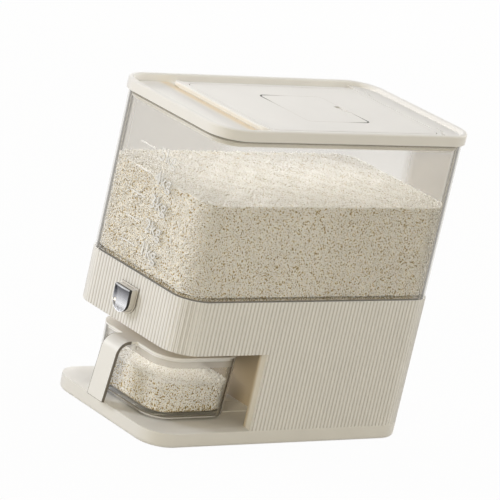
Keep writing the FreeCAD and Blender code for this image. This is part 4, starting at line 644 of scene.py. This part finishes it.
def plan_runs(plan):
    """The sides and corners of a rounded rectangle, anticlockwise from its front left.

    A side is its length, start, heading and outward normal; a corner is its length, centre and first angle.
    """
    half_x, low_y, high_y, radius = plan
    width = 2 * (half_x - radius)
    depth = high_y - low_y - 2 * radius
    arc = math.pi * radius / 2
    return (
        (width, (-half_x + radius, low_y), (1, 0), (0, -1)),
        (arc, (half_x - radius, low_y + radius), -math.pi / 2, None),
        (depth, (half_x, low_y + radius), (0, 1), (1, 0)),
        (arc, (half_x - radius, high_y - radius), 0.0, None),
        (width, (half_x - radius, high_y), (-1, 0), (0, 1)),
        (arc, (-half_x + radius, high_y - radius), math.pi / 2, None),
        (depth, (-half_x, high_y - radius), (0, -1), (-1, 0)),
        (arc, (-half_x + radius, low_y + radius), math.pi, None),
    )


def perimeter(plan):
    return sum(run[0] for run in plan_runs(plan))


def points_along(plan, distance):
    """The x and y, and the outward normal's x and y, at distances along a rounded rectangle."""
    s = np.mod(distance, perimeter(plan))
    x, y, nx, ny = (np.zeros_like(s) for _ in range(4))
    start = 0.0
    for length, origin, heading, normal in plan_runs(plan):
        here = (s >= start) & (s < start + length)
        t = s[here] - start
        if normal is None:
            angle = heading + t / plan.radius
            nx[here], ny[here] = np.cos(angle), np.sin(angle)
            x[here] = origin[0] + plan.radius * np.cos(angle)
            y[here] = origin[1] + plan.radius * np.sin(angle)
        else:
            x[here], y[here] = origin[0] + heading[0] * t, origin[1] + heading[1] * t
            nx[here], ny[here] = normal
        start += length
    return x, y, nx, ny


def is_inside(plan, x, y):
    """Whether points of the plain rectangle lie inside the rounded one."""
    past_x = np.abs(x) - (plan.half_x - plan.radius)
    past_y = np.abs(y - (plan.low_y + plan.high_y) / 2) - ((plan.high_y - plan.low_y) / 2 - plan.radius)
    in_corner = (past_x > 0) & (past_y > 0)
    return ~in_corner | (past_x ** 2 + past_y ** 2 < plan.radius ** 2)


# ---------------------------------------------------------------- rice

def grain_shape():
    """A rice grain along X, one unit long each way: its points, triangles at its tips and quads between."""
    points = [(-1.0, 0.0, 0.0)]
    for along, width in GRAIN_RINGS:
        for side in range(GRAIN_SIDES):
            angle = 2 * math.pi * side / GRAIN_SIDES
            points.append((along, width * math.cos(angle), width * math.sin(angle)))
    points.append((1.0, 0.0, 0.0))
    last = len(points) - 1
    end_ring = last - GRAIN_SIDES
    triangles, quads = [], []
    for side in range(GRAIN_SIDES):
        beside = (side + 1) % GRAIN_SIDES
        triangles.append((0, 1 + beside, 1 + side))
        for ring in range(1, end_ring, GRAIN_SIDES):
            following = ring + GRAIN_SIDES
            quads.append((ring + side, ring + beside, following + beside, following + side))
        triangles.append((end_ring + side, end_ring + beside, last))
    return np.array(points), np.array(triangles), np.array(quads)


def grain_axes(normals, rng):
    """Each grain's long axis, turned at random on the surface and tilted a little, and the two across it."""
    level = np.abs(normals[:, 2:3]) > 0.9
    helper = np.where(level, np.array([[1.0, 0, 0]]), np.array([[0, 0, 1.0]]))
    u = np.cross(normals, helper)
    u /= np.linalg.norm(u, axis=1, keepdims=True)
    v = np.cross(normals, u)
    spin = rng.uniform(0, 2 * math.pi, len(normals))[:, None]
    along = u * np.cos(spin) + v * np.sin(spin)
    tilt = rng.normal(0.0, GRAIN_TILT, len(normals))[:, None]
    along = along * np.cos(tilt) + normals * np.sin(tilt)
    across = np.cross(normals, along)
    across /= np.linalg.norm(across, axis=1, keepdims=True)
    return along, across, np.cross(along, across)


def grains(name, centres, normals, rng):
    """A skin of rice grains lying on a surface, as one mesh in the tones of rice."""
    points, triangles, quads = grain_shape()
    count = len(centres)
    lengths = GRAIN_LENGTH / 2 * rng.uniform(*GRAIN_LENGTHS, count)
    radii = GRAIN_RADIUS * rng.uniform(*GRAIN_RADII, count)
    vertices = centres[:, None, :]
    for column, (axis, reach) in enumerate(zip(grain_axes(normals, rng), (lengths, radii, radii))):
        vertices = vertices + axis[:, None, :] * points[None, :, column:column + 1] * reach[:, None, None]

    first_points = (np.arange(count) * len(points))[:, None, None]
    loops = np.concatenate([(shape[None] + first_points).reshape(-1) for shape in (quads, triangles)])
    quad_count, triangle_count = count * len(quads), count * len(triangles)
    starts = np.concatenate([np.arange(quad_count) * 4, quad_count * 4 + np.arange(triangle_count) * 3])
    tones = rng.choice(len(RICE_TONES), count, p=RICE_SHARES)
    face_tones = np.concatenate([np.repeat(tones, len(shape)) for shape in (quads, triangles)])

    mesh = bpy.data.meshes.new(name)
    mesh.vertices.add(count * len(points))
    mesh.vertices.foreach_set("co", vertices.astype(np.float32).reshape(-1))
    mesh.loops.add(len(loops))
    mesh.loops.foreach_set("vertex_index", loops.astype(np.int32))
    mesh.polygons.add(len(starts))
    mesh.polygons.foreach_set("loop_start", starts.astype(np.int32))
    mesh.polygons.foreach_set("use_smooth", np.ones(len(starts), bool))
    mesh.update(calc_edges=True)
    mesh.polygons.foreach_set("material_index", face_tones.astype(np.int32))
    mesh.update()
    mesh.validate()
    skin = new_object(name, mesh)
    dress(skin, *RICE_TONES)
    return skin


def scatter(low, high, rng):
    """Jittered grid points over a rectangle given by two corners, with every other row shifted."""
    columns = max(1, round((high[0] - low[0]) / GRAIN_PITCH))
    rows = max(1, round((high[1] - low[1]) / ROW_PITCH))
    a, b = np.meshgrid(np.arange(columns) + 0.5, np.arange(rows) + 0.5)
    a = (a + (np.arange(rows)[:, None] % 2) * 0.5 + rng.uniform(-JITTER, JITTER, a.shape)) / columns
    b = (b + rng.uniform(-JITTER, JITTER, b.shape)) / rows
    a = np.clip(a, 0, 1).reshape(-1)
    b = np.clip(b, 0, 1).reshape(-1)
    return low[0] + a * (high[0] - low[0]), low[1] + b * (high[1] - low[1])


def wall_grains(name, plan, foot, top, stretch, rng, surface=None, draft=0.0):
    """Grains against a stretch of a rounded wall, from a heap's foot to its top and under its surface.

    The wall draws in by draft for each metre below the top.
    """
    s, z = scatter((stretch[0], foot), (stretch[1], top - GRAIN_INSET), rng)
    x, y, nx, ny = points_along(plan, s)
    if surface:
        under = z < surface(x, y) - SURFACE_GAP
        x, y, z, nx, ny = (each[under] for each in (x, y, z, nx, ny))
    inward = rng.uniform(0, 1, len(x)) * SKIN_DEPTH + (top - z) * draft
    centres = np.stack([x - nx * inward, y - ny * inward, z], 1)
    return grains(name, centres, np.stack([nx, ny, np.zeros_like(nx)], 1), rng)


def top_centres(plan, surface, rng):
    """Centres of the grains just under a heap's surface, inside its rounded wall."""
    x, y = scatter((-plan.half_x, plan.low_y), (plan.half_x, plan.high_y), rng)
    keep = is_inside(plan, x, y)
    x, y = x[keep], y[keep]
    z = surface(x, y) - GRAIN_INSET - rng.uniform(0, 1, len(x)) * SKIN_DEPTH
    return np.stack([x, y, z], 1)


def top_grains(name, centres, rng):
    return grains(name, centres, np.tile([[0.0, 0.0, 1.0]], (len(centres), 1)), rng)


def inset_copy(node, name, inset, top_drop, above):
    """A copy of a node's mesh drawn in from its sides, and from its top above a level."""
    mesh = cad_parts[node].data.copy()
    low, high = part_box(node)
    middle_x, middle_y, _ = box_middle(node)
    half_x, half_y = (high.x - low.x) / 2, (high.y - low.y) / 2
    for vertex in mesh.vertices:
        vertex.co.x = middle_x + (vertex.co.x - middle_x) * (1 - inset / half_x)
        vertex.co.y = middle_y + (vertex.co.y - middle_y) * (1 - inset / half_y)
        if vertex.co.z > above:
            vertex.co.z -= top_drop
    bed = new_object(name, mesh)
    dress(bed, MATERIALS["rice_gaps"])
    return bed


def hopper_surface(x, y):
    """Height of the rice's uneven top: ripples that die out towards the hopper's walls."""
    low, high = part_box("hopper")
    u = x / (high.x - HOPPER_WALL)
    v = (y - (low.y + high.y) / 2) / ((high.y - low.y) / 2 - HOPPER_WALL)
    wave = np.sin(2 * math.pi * x / RIPPLE_LENGTH) * np.cos(2 * math.pi * y / RIPPLE_LENGTH)
    return RICE_TOP + RIPPLE * wave * (1 - u ** 4) * (1 - v ** 4)


def hopper_rice():
    """The skin of grains on the hopper's rice, in a piece for each side and two on top, and the bed in it."""
    rng = np.random.default_rng(7)
    low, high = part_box("rice_in_hopper")
    plan = Plan(high.x - GRAIN_INSET, low.y + GRAIN_INSET, high.y - GRAIN_INSET,
                HOPPER_RICE_CORNER - GRAIN_INSET)
    width, arc, depth = (run[0] for run in plan_runs(plan)[:3])
    front_right = width + arc / 2
    back_right = width + arc * 1.5 + depth
    back_left = 2 * width + arc * 2.5 + depth
    front_left = perimeter(plan) - arc / 2
    stretches = {
        "rice_grains_front": (front_left - perimeter(plan), front_right),
        "rice_grains_right": (front_right, back_right),
        "rice_grains_back": (back_right, back_left),
        "rice_grains_left": (back_left, front_left),
    }
    pieces = [wall_grains(name, plan, HOPPER_RICE_FROM, RICE_TOP, stretch, rng)
              for name, stretch in stretches.items()]
    centres = top_centres(plan, hopper_surface, rng)
    in_front = centres[:, 1] < 0
    pieces.append(top_grains("rice_grains_top_front", centres[in_front], rng))
    pieces.append(top_grains("rice_grains_top_back", centres[~in_front], rng))
    bed = inset_copy("rice_in_hopper", "rice_bed", inset=0.0014, top_drop=0.0018, above=BODY_TOP + 0.02)
    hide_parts("rice_in_hopper")
    pieces.append(bed)
    for piece in pieces:
        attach(piece, "base")


def cup_rice():
    """The skin of grains on the cup's rice, which is level and falls at the back, and the bed in it."""
    rng = np.random.default_rng(11)
    low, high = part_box("rice_in_cup")
    plan = Plan(high.x - GRAIN_INSET, low.y + GRAIN_INSET, CUP_RICE_BACK - GRAIN_INSET,
                CUP_RICE_CORNER - GRAIN_INSET)

    def surface(x, y):
        return high.z - np.clip((y - CUP_FALL_FROM) / (CUP_FALL_TO - CUP_FALL_FROM), 0, 1) * CUP_FALL

    pieces = [wall_grains("cup_grains_sides", plan, low.z + CUP_RICE_FOOT, high.z, (0, perimeter(plan)), rng,
                          surface, CUP_RICE_DRAFT / (high.z - low.z))]
    pieces.append(top_grains("cup_grains_top", top_centres(plan, surface, rng), rng))
    bed = inset_copy("rice_in_cup", "cup_rice_bed", inset=0.0016, top_drop=0.0018, above=low.z + 0.03)
    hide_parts("rice_in_cup")
    pieces.append(bed)
    for piece in pieces:
        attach(piece, "cup")


# ---------------------------------------------------------------- numbers, seam and spring

def level_numbers():
    """The number of kilograms beside each level mark, as embossed text."""
    for kilograms, level in enumerate(MARK_LEVELS, 1):
        curve = bpy.data.curves.new(f"level_{kilograms}_text", "FONT")
        curve.body = f"{kilograms}kg"
        curve.size = NUMBER_SIZE
        curve.offset = NUMBER_GROWTH
        curve.extrude = NUMBER_DEPTH
        curve.align_x = "CENTER"
        curve.align_y = "CENTER"
        source = new_object(curve.name, curve)
        bpy.context.view_layer.update()
        mesh = bpy.data.meshes.new_from_object(source.evaluated_get(bpy.context.evaluated_depsgraph_get()))
        bpy.data.objects.remove(source)
        number = new_object(f"level_number_{kilograms}", mesh)
        place = Matrix.Translation((NUMBER_X, NUMBER_Y, level - NUMBER_DROP))
        number.matrix_world = place @ Matrix.Rotation(math.pi / 2, 4, "X")
        dress(number, MATERIALS["mark"])
        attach(number, "base")


def mesh_object(name, vertices, faces, smooth=True):
    mesh = bpy.data.meshes.new(name)
    mesh.from_pydata(vertices, [], faces)
    mesh.update()
    mesh.polygons.foreach_set("use_smooth", [smooth] * len(mesh.polygons))
    return new_object(name, mesh)


def cover_seam_shadow():
    """The shadow line in the gap around the desiccant cover, wider at the two corners where it is dark."""
    low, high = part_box("desiccant_cover")
    plan = Plan(high.x, low.y, high.y, COVER_CORNER)
    x, y, nx, ny = points_along(plan, np.linspace(0.0, 1.0, SEAM_POINTS + 1)[:-1] * perimeter(plan))
    dark = np.clip(x * (y - COVER_MIDDLE) / SEAM_DARKENS, 0.0, 1.0) ** 2
    vertices = []
    for side, rise in ((-1.0, 0.00002), (0.0, 0.0001), (1.0, 0.00002)):
        reach = SEAM_OUT + side * (SEAM_HALF + SEAM_WIDER * dark)
        vertices += zip(x + nx * reach, y + ny * reach, np.full(SEAM_POINTS, COVER_TOP + rise))
    faces = []
    for start in (0, SEAM_POINTS):
        following = start + SEAM_POINTS
        for i in range(SEAM_POINTS):
            beside = (i + 1) % SEAM_POINTS
            faces.append((start + i, start + beside, following + beside, following + i))
    seam = mesh_object("cover_seam_shadow", vertices, faces)
    dress(seam, MATERIALS["seam"])
    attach(seam, "flap")


def coil():
    """A copy of the return spring in the body, carried by the base, with a mesh of its own."""
    spring = new_object("coil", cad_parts["return_spring"].data.copy())
    dress(spring, MATERIALS["steel"])
    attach(spring, "base")
    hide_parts("return_spring")
    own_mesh(spring)


# ---------------------------------------------------------------- stage, light, camera

FLOOR_REACH = 14.0
FAINT_POWER = 1.0
# Each lamp's name, place, aim, size, power and colour. The two faint ones stand in for light that real clear
# plastic scatters into the room under the lid and over the cup's rice.
LAMPS = (
    ("key", (-2.0, -2.4, 1.45), (0, 0, 0.2), (0.9, 0.9), 48.0, (0.95, 0.97, 1.03)),
    ("near", (1.8, -2.6, 1.0), (0, 0, 0.18), (0.8, 0.8), 33.5, (1.0, 0.925, 0.73)),
    ("back_right", (1.7, 2.7, 0.95), (0, 0, 0.25), (0.7, 0.7), 19.0, (1.0, 0.93, 0.76)),
    ("back_left", (-2.6, 1.5, 0.9), (0, 0, 0.25), (0.9, 0.9), 22.0, (1.0, 0.98, 0.95)),
    ("back", (-0.2, 2.9, 1.2), (0, 0, 0.25), (1.0, 0.8), 32.0, (1.0, 0.99, 0.96)),
    ("top", (0.0, 0.2, 2.4), (0, 0, 0.3), (1.4, 1.4), 15.0, (1.0, 0.99, 0.98)),
    ("headspace", (0.0, 0.007, 0.3145), (0, 0.007, 0), (0.165, 0.3), 0.075, (1.0, 0.98, 0.94)),
    ("cup_space", (0.0, -0.092, 0.079), (0, -0.092, 0), (0.1, 0.09), 0.019, (1.0, 0.96, 0.88)),
)


def stage():
    """A pale floor that shows as nearly white and keeps the object's shadow."""
    r = FLOOR_REACH
    floor = mesh_object("floor", [(-r, -r, 0), (r, -r, 0), (r, r, 0), (-r, r, 0)], [(0, 1, 2, 3)], False)
    m = material("pale_floor")
    matt = m.add("ShaderNodeBsdfDiffuse", {"Color": (0.66, 0.64, 0.6)}).outputs["BSDF"]
    glow = m.add("ShaderNodeEmission", {"Color": WHITE, "Strength": 1.0}).outputs["Emission"]
    mirrored = m.math("MAXIMUM", m.light_path("Is Glossy Ray"), m.light_path("Is Transmission Ray"))
    seen = m.math("MAXIMUM", m.light_path("Is Camera Ray"), mirrored)
    dress(floor, m.finish(m.blend(m.math("MULTIPLY", seen, 0.97), matt, glow)))


def light():
    """A dim warm room that the camera sees as white, and the lamps."""
    world = bpy.data.worlds.new("pale_room")
    bpy.context.scene.world = world
    m = Nodes(world, "ShaderNodeOutputWorld")
    room = m.add("ShaderNodeBackground", {"Color": (1.0, 0.95, 0.87), "Strength": 0.17}).outputs["Background"]
    seen = m.add("ShaderNodeBackground", {"Color": WHITE, "Strength": 1.0}).outputs["Background"]
    m.finish(m.blend(m.light_path("Is Camera Ray"), room, seen))
    for name, at, aim, size, power, colour in LAMPS:
        data = bpy.data.lights.new(name, "AREA")
        data.shape = "RECTANGLE"
        data.size, data.size_y = size
        data.energy = power
        data.color = colour
        lamp = new_object(name, data)
        lamp.location = at
        lamp.rotation_euler = (Vector(aim) - Vector(at)).to_track_quat("-Z", "Y").to_euler()
        lamp.visible_camera = False
        lamp.visible_glossy = power > FAINT_POWER


def camera():
    az, el, roll = (math.radians(v) for v in (AZIMUTH, ELEVATION, ROLL))
    back = Vector((math.sin(az) * math.cos(el), -math.cos(az) * math.cos(el), math.sin(el)))
    right = Vector((math.cos(az), math.sin(az), 0.0))
    up = back.cross(right)
    across = right * math.cos(roll) + up * math.sin(roll)
    over = up * math.cos(roll) - right * math.sin(roll)
    data = bpy.data.cameras.new("photo_camera")
    data.sensor_width = 36.0
    data.sensor_fit = "HORIZONTAL"
    data.lens = LENS
    data.clip_end = 60.0
    obj = new_object("photo_camera", data)
    obj.matrix_world = Matrix.Translation(CAMERA_AT) @ Matrix((across, over, back)).transposed().to_4x4()
    bpy.context.scene.camera = obj


dress_nodes()
hopper_rice()
cup_rice()
level_numbers()
cover_seam_shadow()
coil()
stage()
light()
camera()
bpy.context.scene.view_settings.view_transform = "Standard"
